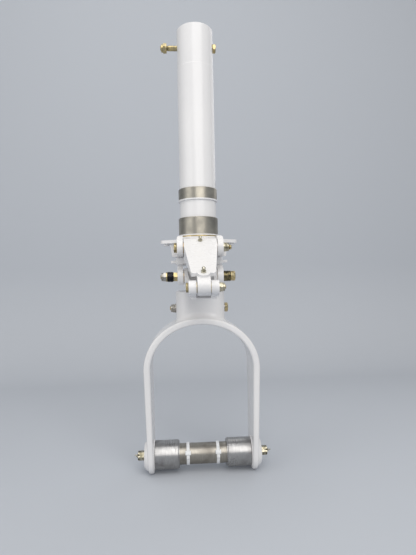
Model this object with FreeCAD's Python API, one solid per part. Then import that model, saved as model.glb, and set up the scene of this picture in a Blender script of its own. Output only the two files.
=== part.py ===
import FreeCAD, Part
import math
import os
from FreeCAD import Vector

# Nose landing gear strut: an oleo barrel, a steering collar that turns on it,
# two torque links, and a sliding piston that carries a wheel fork and its axle.
# Millimetres. +Z runs up the barrel, -Y is forward (the torque-link side), and
# the origin is on the barrel's axis, half way along its lower clamp land.

# ---------------------------------------------------------------- clearances
RUN_FIT = 0.06
SEAT_FIT = 0.02
SIDE_PLAY = 0.10
COLLAR_PLAY = 0.25

# --------------------------------------------------------- hexagon hardware
BOLT5_R = 3.97
HEX5_FLATS = 12.7
HEAD5_H = 4.8
NUT5_H = 6.9
BOLT4_R = 3.175
HEX4_FLATS = 11.1
HEAD4_H = 3.4
NUT4_H = 5.6
WASHER_T = 1.6
WASHER_RIM = 3.2
BOLT_TIP = 1.4
HEX_CHAMFER = 0.9
NUT_COLLAR = 0.32
CASTLE_SLOT_W = 2.4
CASTLE_SLOT_H = 2.6
COTTER_R = 0.95
COTTER_STICKOUT = 3.2

# ------------------------------------------------------------------- barrel
BARREL_TOP_Z = 310.4
BARREL_R = 28.575
BARREL_WALL = 3.775
HEAD_STEP_Z = 249.5
HEAD_STEP = 0.275
UPPER_LAND_Z = 49.2
UPPER_LAND_H = 19.2
UPPER_LAND_RISE = 1.925
UPPER_LIP_H = 2.0
UPPER_LIP_RISE = 0.4
LOWER_LAND_H = 26.5
LOWER_LAND_RISE = 2.425
LOWER_LIP_H = 2.0
LOWER_LIP_RISE = 0.6
LAND_CHAMFER = 0.6
GLAND_THREAD_DEPTH = 1.575
BARREL_EDGE = 0.8

# ---------------------------------------------------- firewall attach bolt
ATTACH_BOLT_Z = 284.2
ATTACH_REACH = 44.6

# ------------------------------------------------------------ barrel's head
PLUG_H = 38.0
PLUG_ABOVE_BOLT = 15.8
PLUG_NECK_H = 8.0
SEAL_SECTION = 1.9
SEAL_SQUASH = 0.3
VALVE_FLATS = 12.0
VALVE_HEX_H = 4.5
VALVE_STEM_R = 3.6
VALVE_STEM_H = 3.2
VALVE_CAP_R = 4.4
VALVE_CAP_H = 2.5
ORIFICE_TUBE_GAP = 2.95
ORIFICE_TUBE_WALL = 1.6
ORIFICE_PLATE_Z = -20.0
ORIFICE_PLATE_T = 3.0
ORIFICE_GAP = 1.2

# ------------------------------------------------------------ thrust shim
SHIM_T = 2.0
SHIM_RIM = 0.9

# ---------------------------------------------------------- steering collar
COLLAR_H = 30.5
COLLAR_WALL = 7.425
COLLAR_FRONT_WALL = 4.425
COLLAR_CHAMFER = 1.2
ARM_DROP = 3.5
ARM_T = 5.0
ARM_HOLE_X = 51.0
ARM_TIP_R = 9.6
ARM_ROOT_R = 22.0
ARM_BUSH_BORE_R = 3.2
ARM_BUSH_WALL = 1.5
ARM_BUSH_DROP = 3.1
GUSSET_T = 17.0
GUSSET_TOP_X = 45.0
GUSSET_FOOT_X = 42.5
LINK_FACE_X = 25.4
LUG_T = 8.6
LUG_SIDE_R = 4.0
LUG_DROP = 0.2
PIVOT_STICKOUT = 4.2

# ----------------------------------------------- torque links' pivot points
UPPER_PIVOT_STANDOFF = 14.0
UPPER_PIVOT_Z = -35.6
LOWER_PIVOT_STANDOFF = 19.35
LOWER_PIVOT_Z = -78.4
KNEE_FWD = 138.0
KNEE_Z = -92.4
STROKE = 90.0

# ------------------------------------------------------------ torque links
UPPER_BASE_R = 13.5
LOWER_BASE_R = 12.5
LINK_PLATE_T = 6.3
LINK_PLATE_OUT = 16.8
LINK_FLANGE_T = 5.0
LINK_SHOULDER = 19.0
UPPER_TIP_HALF = 16.0
LOWER_TIP_HALF = 17.0
LINK_END_SETBACK = 8.0
LINK_EDGE_R = 0.9
LINK_CORNER_R = 3.0
CENTRE_LUG_HALF = 8.3
CENTRE_LUG_R = 10.8
OUTER_LUG_R = 9.0
OUTER_LUG_T = 9.9
KNEE_WASHER_T = 0.9
KNEE_SIDE_PLAY = 0.25
LUG_ROOT = 36.0
GREASE_BOSS_R = 8.3
GREASE_BOSS_H = 1.0
BUSH_WALL = 2.4
BUSH_FLANGE_T = 1.2
BUSH_FLANGE_RIM = 2.2
KNEE_SLOT_PLAY = 0.75
KNEE_LUG_REACH = 2.5
SWEEP_PLAY = 0.6
GREASE_HEX_FLATS = 6.4
GREASE_HEX_H = 2.0
GREASE_NECK_R = 1.7
GREASE_NECK_H = 1.6
GREASE_BALL_R = 2.5
GREASE_BALL_H = 4.0
GREASE_BALL_EASE = 1.25
GREASE_SPOT_R = 4.4
GREASE_SPOT_DEPTH = 0.3
UPPER_FITTING_ALONG = 4.0

# ------------------------------------------------- gland nut, lower bearing
GLAND_RIM = 8.725
GLAND_H = 12.0
GLAND_LIP_T = 4.5
GLAND_CHAMFER = 1.2
GLAND_EAR_SPAN = 89.7
GLAND_EAR_W = 15.0
GLAND_EAR_T = 4.0
GLAND_EAR_LIFT = 3.3
BEARING_H = 46.0
SCRAPER_H = 3.0
SCRAPER_GROOVE = 1.6
RETAINER_H = 2.0
SEAL_GROOVE_LIFT = 14.0

# ------------------------------------------------------------------- piston
BEARING_WALL = 4.15
PISTON_WALL = 3.2
PISTON_HEAD_Z = 115.0
HEAD_BEARING_H = 25.0
HEAD_BEARING_DROP = 3.0
HEAD_RING_W = 2.4
HEAD_RING_DEPTH = 1.2
BASE_PLUG_H = 26.0
PIN_R = 5.0
PIN_TIP_R = 3.6
PIN_TAPER_H = 25.0
PIN_OVERREACH = 5.0
PIN_COLLAR_R = 8.5
PIN_COLLAR_H = 6.0

# --------------------------------------------------- lower torque-link lugs
RING_WALL = 5.85
RING_H = 22.0
CHEEK_BACK = 13.0
EAR_TOP_FWD = 30.0
EAR_TOP_R = 5.0
EAR_TOP_GAP = 1.0

# --------------------------------------------------------- tow-bar sleeves
HEX_SLEEVE_LEN = 6.4
LEFT_SLEEVE_LEN = 9.0
LEFT_SLEEVE_R = 7.5
RIGHT_SLEEVE_LEN = 11.7
RIGHT_SLEEVE_R = 7.85

# --------------------------------------------------------------------- fork
FORK_TOP_Z = -100.5
SOCKET_SIDE_WALL = 17.05
SOCKET_FRONT_WALL = 10.35
SOCKET_CORNER_R = 20.0
SOCKET_CHAMFER = 1.5
SOCKET_FLOOR_T = 11.0
CROWN_UNDER_Z = -151.0
CROWN_T = 10.0
CROWN_FILLET = 9.0
ARCH_HALF = 78.3
ARCH_RISE = 69.0
ARM_HALF_AT_AXLE = 75.6
FORK_ARM_T = 10.2
FORK_ARM_T_AT_AXLE = 9.4
CROWN_HALF_DEPTH = 40.0
CROWN_CORNER_R = 9.0
FORK_EDGE_R = 3.0
FORK_BOLT_Z = -128.0
AXLE_Z = -359.4
FORK_EYE_R = 27.0
EYE_PAD_H = 0.8
EYE_PAD_RIM = 1.4
BOSS_R = 22.0
BOSS_H = 6.6
BOSS_CHAMFER = 3.2

# ---------------------------------------------------------------- axle group
AXLE_R = 15.875
AXLE_WALL = 3.2
AXLE_END_T = 8.0
SPACER_R = 21.7
SPACER_LEN = 38.4
SPACER_CHAMFER = 0.8
SPACER_LIP = 1.0
CASTLE_NUT_H = 9.5
STUD_STICKOUT = 4.5
TIE_W = 4.8
TIE_T = 1.3
TIE_LEFT_X = -23.8
TIE_RIGHT_X = 23.2
TIE_HEAD_W = 8.5
TIE_HEAD_T = 4.6
TIE_HEAD_H = 6.4
TIE_HEAD_LIFT = 24.0
TIE_TAIL_L = 5.0

# ----------------------------------------------------------- derived sizes
BARREL_BORE_R = BARREL_R - BARREL_WALL
HEAD_R = BARREL_R - HEAD_STEP
UPPER_LAND_R = BARREL_R + UPPER_LAND_RISE
UPPER_LIP_R = UPPER_LAND_R + UPPER_LIP_RISE
LOWER_LAND_R = BARREL_R + LOWER_LAND_RISE
LOWER_LIP_R = LOWER_LAND_R + LOWER_LIP_RISE
GLAND_THREAD_R = BARREL_R - GLAND_THREAD_DEPTH
GLAND_R = BARREL_R + GLAND_RIM
COLLAR_HUB_R = BARREL_R + COLLAR_WALL
COLLAR_FRONT_FLAT = BARREL_R + COLLAR_FRONT_WALL
PISTON_R = BARREL_BORE_R - BEARING_WALL
PISTON_BORE_R = PISTON_R - PISTON_WALL
RING_R = PISTON_R + RING_WALL
ORIFICE_TUBE_R = PISTON_BORE_R - ORIFICE_TUBE_GAP
ORIFICE_R = PIN_R + ORIFICE_GAP
SOCKET_HALF_W = PISTON_R + SOCKET_SIDE_WALL
SOCKET_HALF_D = PISTON_R + SOCKET_FRONT_WALL
UPPER_PIVOT_FWD = COLLAR_FRONT_FLAT + UPPER_PIVOT_STANDOFF
LOWER_PIVOT_FWD = PISTON_R + LOWER_PIVOT_STANDOFF

# ----------------------------------------------------------- derived places
SHIM_TOP_Z = -LOWER_LAND_H / 2 - LOWER_LIP_H
COLLAR_TOP_Z = SHIM_TOP_Z - SHIM_T - COLLAR_PLAY
COLLAR_FOOT_Z = COLLAR_TOP_Z - COLLAR_H
GLAND_TOP_Z = COLLAR_FOOT_Z - COLLAR_PLAY
GLAND_FOOT_Z = GLAND_TOP_Z - GLAND_H
BARREL_FOOT_Z = GLAND_FOOT_Z + GLAND_LIP_T
ARM_TOP_Z = COLLAR_TOP_Z - ARM_DROP
LUG_TOP_Z = COLLAR_TOP_Z - LUG_DROP
PLUG_TOP_Z = ATTACH_BOLT_Z + PLUG_ABOVE_BOLT
PLUG_FOOT_Z = PLUG_TOP_Z - PLUG_H
LUG_FACE_X = LINK_FACE_X + LUG_T
SOCKET_FLOOR_Z = CROWN_UNDER_Z + SOCKET_FLOOR_T
LUG_GAP = KNEE_WASHER_T + KNEE_SIDE_PLAY
OUTER_LUG_X = CENTRE_LUG_HALF + LUG_GAP
KNEE_HALF = OUTER_LUG_X + OUTER_LUG_T
ARCH_CENTRE_Z = CROWN_UNDER_Z - ARCH_RISE
BOSS_FACE_X = ARM_HALF_AT_AXLE + FORK_ARM_T_AT_AXLE + BOSS_H
UPPER_LINK_L = math.hypot(KNEE_FWD - UPPER_PIVOT_FWD, KNEE_Z - UPPER_PIVOT_Z)
LOWER_LINK_L = math.hypot(KNEE_FWD - LOWER_PIVOT_FWD, KNEE_Z - LOWER_PIVOT_Z)


# ------------------------------------------------------------ basic shapes
def turned(points):
    """Solid turned about the Z axis from a closed (radius, height) outline."""
    corners = [Vector(radius, 0, height) for radius, height in points]
    face = Part.Face(Part.makePolygon(corners + corners[:1]))
    return face.revolve(Vector(0, 0, 0), Vector(0, 0, 1), 360)


def tube(outer_r, bore_r, low, high):
    """Plain tube about the Z axis."""
    return turned([(bore_r, low), (outer_r, low), (outer_r, high), (bore_r, high)])


def rod(radius, low, high):
    """Plain round bar about the Z axis."""
    return Part.makeCylinder(radius, high - low, Vector(0, 0, low))


def rod_x(radius, x_low, x_high, fwd=0.0, height=0.0):
    """Round bar along X."""
    start = Vector(x_low, -fwd, height)
    return Part.makeCylinder(radius, x_high - x_low, start, Vector(1, 0, 0))


def laid_along_x(shape, x_from, fwd, height, sign):
    """Turn a shape made along +Z so that it runs along X from x_from, towards sign."""
    laid = shape.copy()
    laid.rotate(Vector(0, 0, 0), Vector(0, 1, 0), 90 * sign)
    laid.translate(Vector(x_from, -fwd, height))
    return laid


def rounded_outline(circles, place):
    """Wire round a convex row of circles, given anticlockwise as (u, v, r)."""
    count = len(circles)
    normals = []
    for index in range(count):
        u1, v1, r1 = circles[index]
        u2, v2, r2 = circles[(index + 1) % count]
        heading = math.atan2(v2 - v1, u2 - u1)
        span = math.hypot(u2 - u1, v2 - v1)
        normals.append(heading - math.acos((r1 - r2) / span))

    def rim(index, angle):
        u, v, r = circles[index]
        return place(u + r * math.cos(angle), v + r * math.sin(angle))

    edges = []
    for index in range(count):
        turn_in = normals[index - 1]
        turn_out = normals[index]
        sweep = (turn_out - turn_in) % (2 * math.pi)
        if circles[index][2] > 0:
            middle = rim(index, turn_in + sweep / 2)
            edges.append(Part.Arc(rim(index, turn_in), middle, rim(index, turn_out)).toShape())
        leave = rim(index, turn_out)
        arrive = rim((index + 1) % count, turn_out)
        if leave.distanceToPoint(arrive) > 1e-6:
            edges.append(Part.LineSegment(leave, arrive).toShape())
    return Part.Wire(edges)


def side_slab(circles, x_low, x_high):
    """Slab across X with a rounded outline given in (forward, height)."""
    wire = rounded_outline(circles, lambda fwd, height: Vector(x_low, -fwd, height))
    return Part.Face(wire).extrude(Vector(x_high - x_low, 0, 0))


def plan_slab(circles, low, high):
    """Slab across Z with a rounded outline given in (x, forward)."""
    wire = rounded_outline(circles, lambda x, fwd: Vector(x, -fwd, low))
    return Part.Face(wire).extrude(Vector(0, 0, high - low))


def front_slab(circles, fwd_low, fwd_high):
    """Slab across Y with a rounded outline given in (x, height)."""
    wire = rounded_outline(circles, lambda x, height: Vector(x, -fwd_low, height))
    return Part.Face(wire).extrude(Vector(0, fwd_low - fwd_high, 0))


def both_sides(shape):
    """The shape and its mirror image across the X = 0 plane."""
    return [shape, shape.mirror(Vector(0, 0, 0), Vector(1, 0, 0))]


def joined(solids):
    """One solid from touching ones, without the seams between them."""
    return solids[0].multiFuse(solids[1:]).removeSplitter()


# ---------------------------------------------------------------- fasteners
def hexagon(flats, low, high):
    """Hexagonal bar about the Z axis, flats across X."""
    corner_r = flats / math.sqrt(3)
    corners = []
    for step in range(6):
        angle = math.radians(30 + 60 * step)
        corners.append(Vector(corner_r * math.cos(angle), corner_r * math.sin(angle), low))
    face = Part.Face(Part.makePolygon(corners + corners[:1]))
    return face.extrude(Vector(0, 0, high - low))


def chamfered_hexagon(flats, height):
    """Hexagon from Z = 0 upwards with its outer corners turned off."""
    corner_r = flats / math.sqrt(3)
    envelope = turned([
        (0, 0),
        (corner_r, 0),
        (corner_r, height - HEX_CHAMFER),
        (corner_r - 2 * HEX_CHAMFER, height),
        (0, height),
    ])
    return hexagon(flats, 0, height).common(envelope)


def hex_bolt(radius, flats, head_h, grip):
    """Bolt with its head's seat at Z = 0, head up and shank down."""
    shank = turned([
        (0, 0),
        (0, -grip),
        (radius - BOLT_TIP / 2, -grip),
        (radius, -grip + BOLT_TIP / 2),
        (radius, 0),
    ])
    return joined([chamfered_hexagon(flats, head_h), shank])


def lock_nut(radius, flats, height):
    """Self-locking nut standing on Z = 0: a hexagon under a round collar."""
    hex_h = height * (1 - NUT_COLLAR)
    collar = rod(flats / 2 - HEX_CHAMFER / 2, hex_h - HEX_CHAMFER, height)
    nut = joined([chamfered_hexagon(flats, hex_h), collar])
    return nut.cut(rod(radius + SEAT_FIT, -1, height + 1))


def castle_nut(radius, flats, height):
    """Nut standing on Z = 0 with six slots across its top for a cotter pin."""
    nut = chamfered_hexagon(flats, height).cut(rod(radius + SEAT_FIT, -1, height + 1))
    for step in range(3):
        slot = Part.makeBox(2 * flats, CASTLE_SLOT_W, CASTLE_SLOT_H + 1)
        slot.translate(Vector(-flats, -CASTLE_SLOT_W / 2, height - CASTLE_SLOT_H))
        slot.rotate(Vector(0, 0, 0), Vector(0, 0, 1), 60 * step)
        nut = nut.cut(slot)
    return nut


def washer(radius, thickness=WASHER_T):
    """Washer standing on Z = 0 for a bolt of this radius."""
    return tube(radius + WASHER_RIM, radius + SEAT_FIT, 0, thickness)


def cotter_pin(flats, height):
    """Split pin across a castle nut, its two legs bent back along the nut's flats."""
    level = height - CASTLE_SLOT_H / 2
    reach = flats / 2 + COTTER_R
    legs = []
    for side in (-1, 1):
        leg_centre = reach + COTTER_R / 2
        leg = rod(COTTER_R, level - COTTER_R, level + COTTER_STICKOUT)
        leg.translate(Vector(side * leg_centre, 0, 0))
        legs.append(leg)
    across = Part.makeCylinder(
        COTTER_R, 2 * reach + COTTER_R, Vector(-reach - COTTER_R / 2, 0, level), Vector(1, 0, 0)
    )
    return joined([across] + legs)


def grease_fitting():
    """Grease nipple standing on Z = 0: hexagon, neck and ball end."""
    neck_top = GREASE_HEX_H + GREASE_NECK_H
    ball_top = neck_top + GREASE_BALL_H
    stem = turned([
        (0, GREASE_HEX_H),
        (GREASE_NECK_R, GREASE_HEX_H),
        (GREASE_NECK_R, neck_top),
        (GREASE_BALL_R, neck_top + GREASE_BALL_EASE),
        (GREASE_BALL_R, ball_top - GREASE_BALL_EASE),
        (GREASE_BALL_R - GREASE_BALL_EASE, ball_top),
        (0, ball_top),
    ])
    return joined([hexagon(GREASE_HEX_FLATS, 0, GREASE_HEX_H), stem])


# ------------------------------------------------------------- barrel group
def make_barrel():
    """Outer cylinder: one turned tube with two clamp lands and a gland thread."""
    land = LOWER_LAND_H / 2
    upper_low = UPPER_LAND_Z - UPPER_LAND_H / 2
    upper_high = UPPER_LAND_Z + UPPER_LAND_H / 2
    barrel = turned([
        (BARREL_BORE_R, BARREL_FOOT_Z),
        (GLAND_THREAD_R, BARREL_FOOT_Z),
        (GLAND_THREAD_R, COLLAR_FOOT_Z),
        (BARREL_R, COLLAR_FOOT_Z),
        (BARREL_R, SHIM_TOP_Z),
        (LOWER_LIP_R, SHIM_TOP_Z),
        (LOWER_LIP_R, -land),
        (LOWER_LAND_R, -land),
        (LOWER_LAND_R, land - LAND_CHAMFER),
        (LOWER_LAND_R - LAND_CHAMFER, land),
        (BARREL_R, land),
        (BARREL_R, upper_low),
        (UPPER_LIP_R, upper_low),
        (UPPER_LIP_R, upper_low + UPPER_LIP_H),
        (UPPER_LAND_R, upper_low + UPPER_LIP_H),
        (UPPER_LAND_R, upper_high - LAND_CHAMFER),
        (UPPER_LAND_R - LAND_CHAMFER, upper_high),
        (BARREL_R, upper_high),
        (BARREL_R, HEAD_STEP_Z - BARREL_EDGE),
        (HEAD_R, HEAD_STEP_Z),
        (HEAD_R, BARREL_TOP_Z - BARREL_EDGE),
        (HEAD_R - BARREL_EDGE, BARREL_TOP_Z),
        (BARREL_BORE_R, BARREL_TOP_Z),
    ])
    hole = rod_x(BOLT5_R + SEAT_FIT, -HEAD_R - 1, HEAD_R + 1, 0, ATTACH_BOLT_Z)
    return barrel.cut(hole)


def make_head_plug():
    """Plug that closes the barrel's head and carries the orifice tube."""
    rim = BARREL_BORE_R - SEAT_FIT
    groove_r = rim - SEAL_SECTION + SEAL_SQUASH
    groove_low = PLUG_FOOT_Z + 2 * SEAL_SECTION
    groove_high = groove_low + SEAL_SECTION + SEAL_SQUASH
    neck_foot = PLUG_FOOT_Z - PLUG_NECK_H
    neck_r = ORIFICE_TUBE_R - ORIFICE_TUBE_WALL - SEAT_FIT
    plug = turned([
        (0, neck_foot),
        (neck_r, neck_foot),
        (neck_r, PLUG_FOOT_Z),
        (rim, PLUG_FOOT_Z),
        (rim, groove_low),
        (groove_r, groove_low),
        (groove_r, groove_high),
        (rim, groove_high),
        (rim, PLUG_TOP_Z),
        (0, PLUG_TOP_Z),
    ])
    return plug.cut(rod_x(BOLT5_R + SEAT_FIT, -rim - 1, rim + 1, 0, ATTACH_BOLT_Z))


def seal_ring(bore_r, outer_r, low):
    """Round-section seal squashed between two walls."""
    half_h = (SEAL_SECTION - SEAL_SQUASH) / 2
    corner = half_h / 2
    wall_in = bore_r + SEAT_FIT
    wall_out = outer_r - SEAT_FIT
    middle = low + SEAL_SECTION / 2
    return turned([
        (wall_in + corner, middle - half_h),
        (wall_out - corner, middle - half_h),
        (wall_out, middle - corner),
        (wall_out, middle + corner),
        (wall_out - corner, middle + half_h),
        (wall_in + corner, middle + half_h),
        (wall_in, middle + corner),
        (wall_in, middle - corner),
    ])


def make_head_seal():
    """Seal in the head plug's groove."""
    groove_r = BARREL_BORE_R - SEAT_FIT - SEAL_SECTION + SEAL_SQUASH
    return seal_ring(groove_r, BARREL_BORE_R, PLUG_FOOT_Z + 2 * SEAL_SECTION)


def make_filler_valve():
    """Air and oil filler valve standing in the head plug, with its cap."""
    cap_foot = VALVE_HEX_H + VALVE_STEM_H
    stem = turned([
        (0, VALVE_HEX_H),
        (VALVE_STEM_R, VALVE_HEX_H),
        (VALVE_STEM_R, cap_foot),
        (VALVE_CAP_R, cap_foot),
        (VALVE_CAP_R, cap_foot + VALVE_CAP_H - HEX_CHAMFER),
        (VALVE_CAP_R - HEX_CHAMFER, cap_foot + VALVE_CAP_H),
        (0, cap_foot + VALVE_CAP_H),
    ])
    valve = joined([chamfered_hexagon(VALVE_FLATS, VALVE_HEX_H), stem])
    valve.translate(Vector(0, 0, PLUG_TOP_Z))
    return valve


def make_orifice_tube():
    """Tube that hangs from the head plug and holds the orifice plate."""
    bore_r = ORIFICE_TUBE_R - ORIFICE_TUBE_WALL
    return tube(ORIFICE_TUBE_R, bore_r, ORIFICE_PLATE_Z, PLUG_FOOT_Z)


def make_orifice_plate():
    """Plate with the metering hole, closing the orifice tube's foot."""
    foot = ORIFICE_PLATE_Z - ORIFICE_PLATE_T
    return tube(ORIFICE_TUBE_R, ORIFICE_R, foot, ORIFICE_PLATE_Z)


def make_attach_bolt():
    """Long bolt through the barrel's head; its free end stands out to the left."""
    grip = HEAD_R + ATTACH_REACH + WASHER_T + NUT5_H + BOLT_TIP
    bolt = hex_bolt(BOLT5_R, HEX5_FLATS, HEAD5_H, grip)
    return laid_along_x(bolt, HEAD_R, 0, ATTACH_BOLT_Z, 1)


def make_attach_nut():
    """Lock nut and washer on the attach bolt's free end."""
    nut = lock_nut(BOLT5_R, HEX5_FLATS, NUT5_H)
    nut.translate(Vector(0, 0, WASHER_T))
    stack = [washer(BOLT5_R), nut]
    return [laid_along_x(item, -ATTACH_REACH, 0, ATTACH_BOLT_Z, -1) for item in stack]


def make_thrust_shim():
    """Thin ring between the barrel's lowest lip and the steering collar."""
    rim = LOWER_LAND_R + SHIM_RIM
    return tube(rim, BARREL_R + SEAT_FIT, SHIM_TOP_Z - SHIM_T, SHIM_TOP_Z)


def make_gland_nut():
    """Nut that closes the barrel's foot, with two ears for the spanner."""
    nut = turned([
        (PISTON_R + SCRAPER_GROOVE, GLAND_FOOT_Z),
        (GLAND_R - GLAND_CHAMFER, GLAND_FOOT_Z),
        (GLAND_R, GLAND_FOOT_Z + GLAND_CHAMFER),
        (GLAND_R, GLAND_TOP_Z - GLAND_CHAMFER),
        (GLAND_R - GLAND_CHAMFER, GLAND_TOP_Z),
        (GLAND_THREAD_R + SEAT_FIT, GLAND_TOP_Z),
        (GLAND_THREAD_R + SEAT_FIT, BARREL_FOOT_Z),
        (PISTON_R + SCRAPER_GROOVE, BARREL_FOOT_Z),
    ])
    low = GLAND_FOOT_Z + GLAND_EAR_LIFT
    ear_r = GLAND_EAR_W / 4
    tip_x = GLAND_EAR_SPAN / 2 - ear_r
    side = GLAND_EAR_W / 2 - ear_r
    root_x = GLAND_R - GLAND_CHAMFER - ear_r
    ear = plan_slab([
        (root_x, -side, ear_r),
        (tip_x, -side, ear_r),
        (tip_x, side, ear_r),
        (root_x, side, ear_r),
    ], low, low + GLAND_EAR_T)
    ear = ear.cut(rod(GLAND_THREAD_R + GLAND_CHAMFER, low - 1, low + GLAND_EAR_T + 1))
    return joined([nut] + both_sides(ear))


def bearing_top():
    """Height of the lower bearing's top face."""
    return BARREL_FOOT_Z + BEARING_H


def make_lower_bearing():
    """Packing support in the barrel's foot, with a seal groove in its bore and rim."""
    inner = PISTON_R + RUN_FIT
    outer = BARREL_BORE_R - SEAT_FIT
    depth = SEAL_SECTION - SEAL_SQUASH
    low = BARREL_FOOT_Z + SEAL_GROOVE_LIFT
    high = low + SEAL_SECTION
    return turned([
        (inner, BARREL_FOOT_Z),
        (outer, BARREL_FOOT_Z),
        (outer, low),
        (outer - depth, low),
        (outer - depth, high),
        (outer, high),
        (outer, bearing_top()),
        (inner, bearing_top()),
        (inner, high),
        (inner + depth, high),
        (inner + depth, low),
        (inner, low),
    ])


def make_bearing_seals():
    """The lower bearing's two seals: one on the piston, one in the barrel's bore."""
    low = BARREL_FOOT_Z + SEAL_GROOVE_LIFT
    depth = SEAL_SECTION - SEAL_SQUASH
    groove_in = PISTON_R + RUN_FIT + depth
    groove_out = BARREL_BORE_R - SEAT_FIT - depth
    piston_side = seal_ring(PISTON_R + RUN_FIT - SEAT_FIT, groove_in, low)
    barrel_side = seal_ring(groove_out, BARREL_BORE_R, low)
    return [piston_side, barrel_side]


def make_bearing_retainer():
    """Snap ring that stops the lower bearing from sliding up the barrel."""
    low = bearing_top()
    return tube(BARREL_BORE_R - SEAT_FIT, PISTON_R + SCRAPER_GROOVE, low, low + RETAINER_H)


def make_scraper():
    """Wiper ring in the gland nut's mouth."""
    low = GLAND_FOOT_Z + (GLAND_LIP_T - SCRAPER_H) / 2
    rim = PISTON_R + SCRAPER_GROOVE - SEAT_FIT
    return tube(rim, PISTON_R + RUN_FIT, low, low + SCRAPER_H)


# ------------------------------------------------------------ collar group
def make_steering_collar():
    """Cast collar that turns on the barrel: hub, steering arms, gussets, link lugs."""
    hub = turned([
        (BARREL_R + RUN_FIT, COLLAR_FOOT_Z),
        (COLLAR_HUB_R - COLLAR_CHAMFER, COLLAR_FOOT_Z),
        (COLLAR_HUB_R, COLLAR_FOOT_Z + COLLAR_CHAMFER),
        (COLLAR_HUB_R, COLLAR_TOP_Z - COLLAR_CHAMFER),
        (COLLAR_HUB_R - COLLAR_CHAMFER, COLLAR_TOP_Z),
        (BARREL_R + RUN_FIT, COLLAR_TOP_Z),
    ])
    arms = plan_slab([
        (-ARM_HOLE_X, 0, ARM_TIP_R),
        (0, -ARM_ROOT_R / 2, ARM_ROOT_R),
        (ARM_HOLE_X, 0, ARM_TIP_R),
        (0, ARM_ROOT_R / 2, ARM_ROOT_R),
    ], ARM_TOP_Z - ARM_T, ARM_TOP_Z)
    gusset = front_slab([
        (BARREL_R, COLLAR_FOOT_Z + COLLAR_CHAMFER, 0),
        (GUSSET_FOOT_X - COLLAR_CHAMFER, COLLAR_FOOT_Z + 2 * COLLAR_CHAMFER, COLLAR_CHAMFER),
        (GUSSET_TOP_X - COLLAR_CHAMFER, ARM_TOP_Z - ARM_T - COLLAR_CHAMFER, COLLAR_CHAMFER),
        (GUSSET_TOP_X - COLLAR_CHAMFER, ARM_TOP_Z - ARM_T / 2, 0),
        (BARREL_R, ARM_TOP_Z - ARM_T / 2, 0),
    ], -GUSSET_T / 2, GUSSET_T / 2)
    lug = collar_lug()
    blank = joined([hub, arms] + both_sides(gusset) + both_sides(lug))
    bore = rod(BARREL_R + RUN_FIT, COLLAR_FOOT_Z - 1, COLLAR_TOP_Z + 1)
    window = Part.makeBox(
        2 * LINK_FACE_X, 2 * COLLAR_HUB_R, COLLAR_H + 2,
        Vector(-LINK_FACE_X, -COLLAR_FRONT_FLAT - 2 * COLLAR_HUB_R, COLLAR_FOOT_Z - 1),
    )
    pivot = rod_x(BOLT5_R + SEAT_FIT, -LUG_FACE_X - 1, LUG_FACE_X + 1, UPPER_PIVOT_FWD, UPPER_PIVOT_Z)
    bush_hole = rod(ARM_BUSH_BORE_R + ARM_BUSH_WALL, ARM_TOP_Z - ARM_T - 1, ARM_TOP_Z + 1)
    bush_hole.translate(Vector(ARM_HOLE_X, 0, 0))
    return blank.cut(bore).cut(window).cut(pivot).cut(both_sides(bush_hole))


def collar_lug():
    """Right-hand ear for the upper torque link, its outer top corner rounded off."""
    top_r = UPPER_BASE_R - LUG_SIDE_R
    ear = side_slab([
        (0, COLLAR_FOOT_Z + LUG_SIDE_R, LUG_SIDE_R),
        (UPPER_PIVOT_FWD, UPPER_PIVOT_Z, UPPER_BASE_R),
        (UPPER_PIVOT_FWD - LUG_SIDE_R, LUG_TOP_Z - top_r, top_r),
        (0, LUG_TOP_Z - LUG_SIDE_R, LUG_SIDE_R),
    ], LINK_FACE_X, LUG_FACE_X)
    front = front_slab([
        (LINK_FACE_X - LUG_SIDE_R, COLLAR_FOOT_Z, 0),
        (LUG_FACE_X, COLLAR_FOOT_Z, 0),
        (LUG_FACE_X - LUG_SIDE_R, LUG_TOP_Z - LUG_SIDE_R, LUG_SIDE_R),
        (LINK_FACE_X - LUG_SIDE_R, LUG_TOP_Z, 0),
    ], -2 * COLLAR_HUB_R, 2 * UPPER_PIVOT_FWD)
    return ear.common(front)


def make_arm_bushes():
    """Flanged bush in each steering arm for the steering rod's bolt."""
    low = ARM_TOP_Z - ARM_T - ARM_BUSH_DROP
    rim = ARM_BUSH_BORE_R + ARM_BUSH_WALL
    bush = tube(rim - SEAT_FIT, ARM_BUSH_BORE_R, low, ARM_TOP_Z)
    bush.translate(Vector(ARM_HOLE_X, 0, 0))
    return both_sides(bush)


def make_upper_pivot_bolt():
    """Bolt through the collar's lugs, its head on the left."""
    grip = 2 * LUG_FACE_X + WASHER_T + NUT5_H + PIVOT_STICKOUT
    bolt = hex_bolt(BOLT5_R, HEX5_FLATS, HEAD5_H, grip)
    return laid_along_x(bolt, -LUG_FACE_X, UPPER_PIVOT_FWD, UPPER_PIVOT_Z, -1)


def make_upper_pivot_nut():
    """Lock nut and washer on the upper pivot bolt."""
    nut = lock_nut(BOLT5_R, HEX5_FLATS, NUT5_H)
    nut.translate(Vector(0, 0, WASHER_T))
    stack = [washer(BOLT5_R), nut]
    return [laid_along_x(item, LUG_FACE_X, UPPER_PIVOT_FWD, UPPER_PIVOT_Z, 1) for item in stack]


# ------------------------------------------------------------ torque links
def link_plate_line(length, base_r, along, depth):
    """Height of the plate's outer face, less a depth, at a distance along the link."""
    end = length - LINK_END_SETBACK
    return base_r + (LINK_PLATE_OUT - base_r) * along / end - depth


def link_base_half():
    """Half width of a link's base between the flanges of its bushes."""
    return LINK_FACE_X - SIDE_PLAY - BUSH_FLANGE_T


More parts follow.
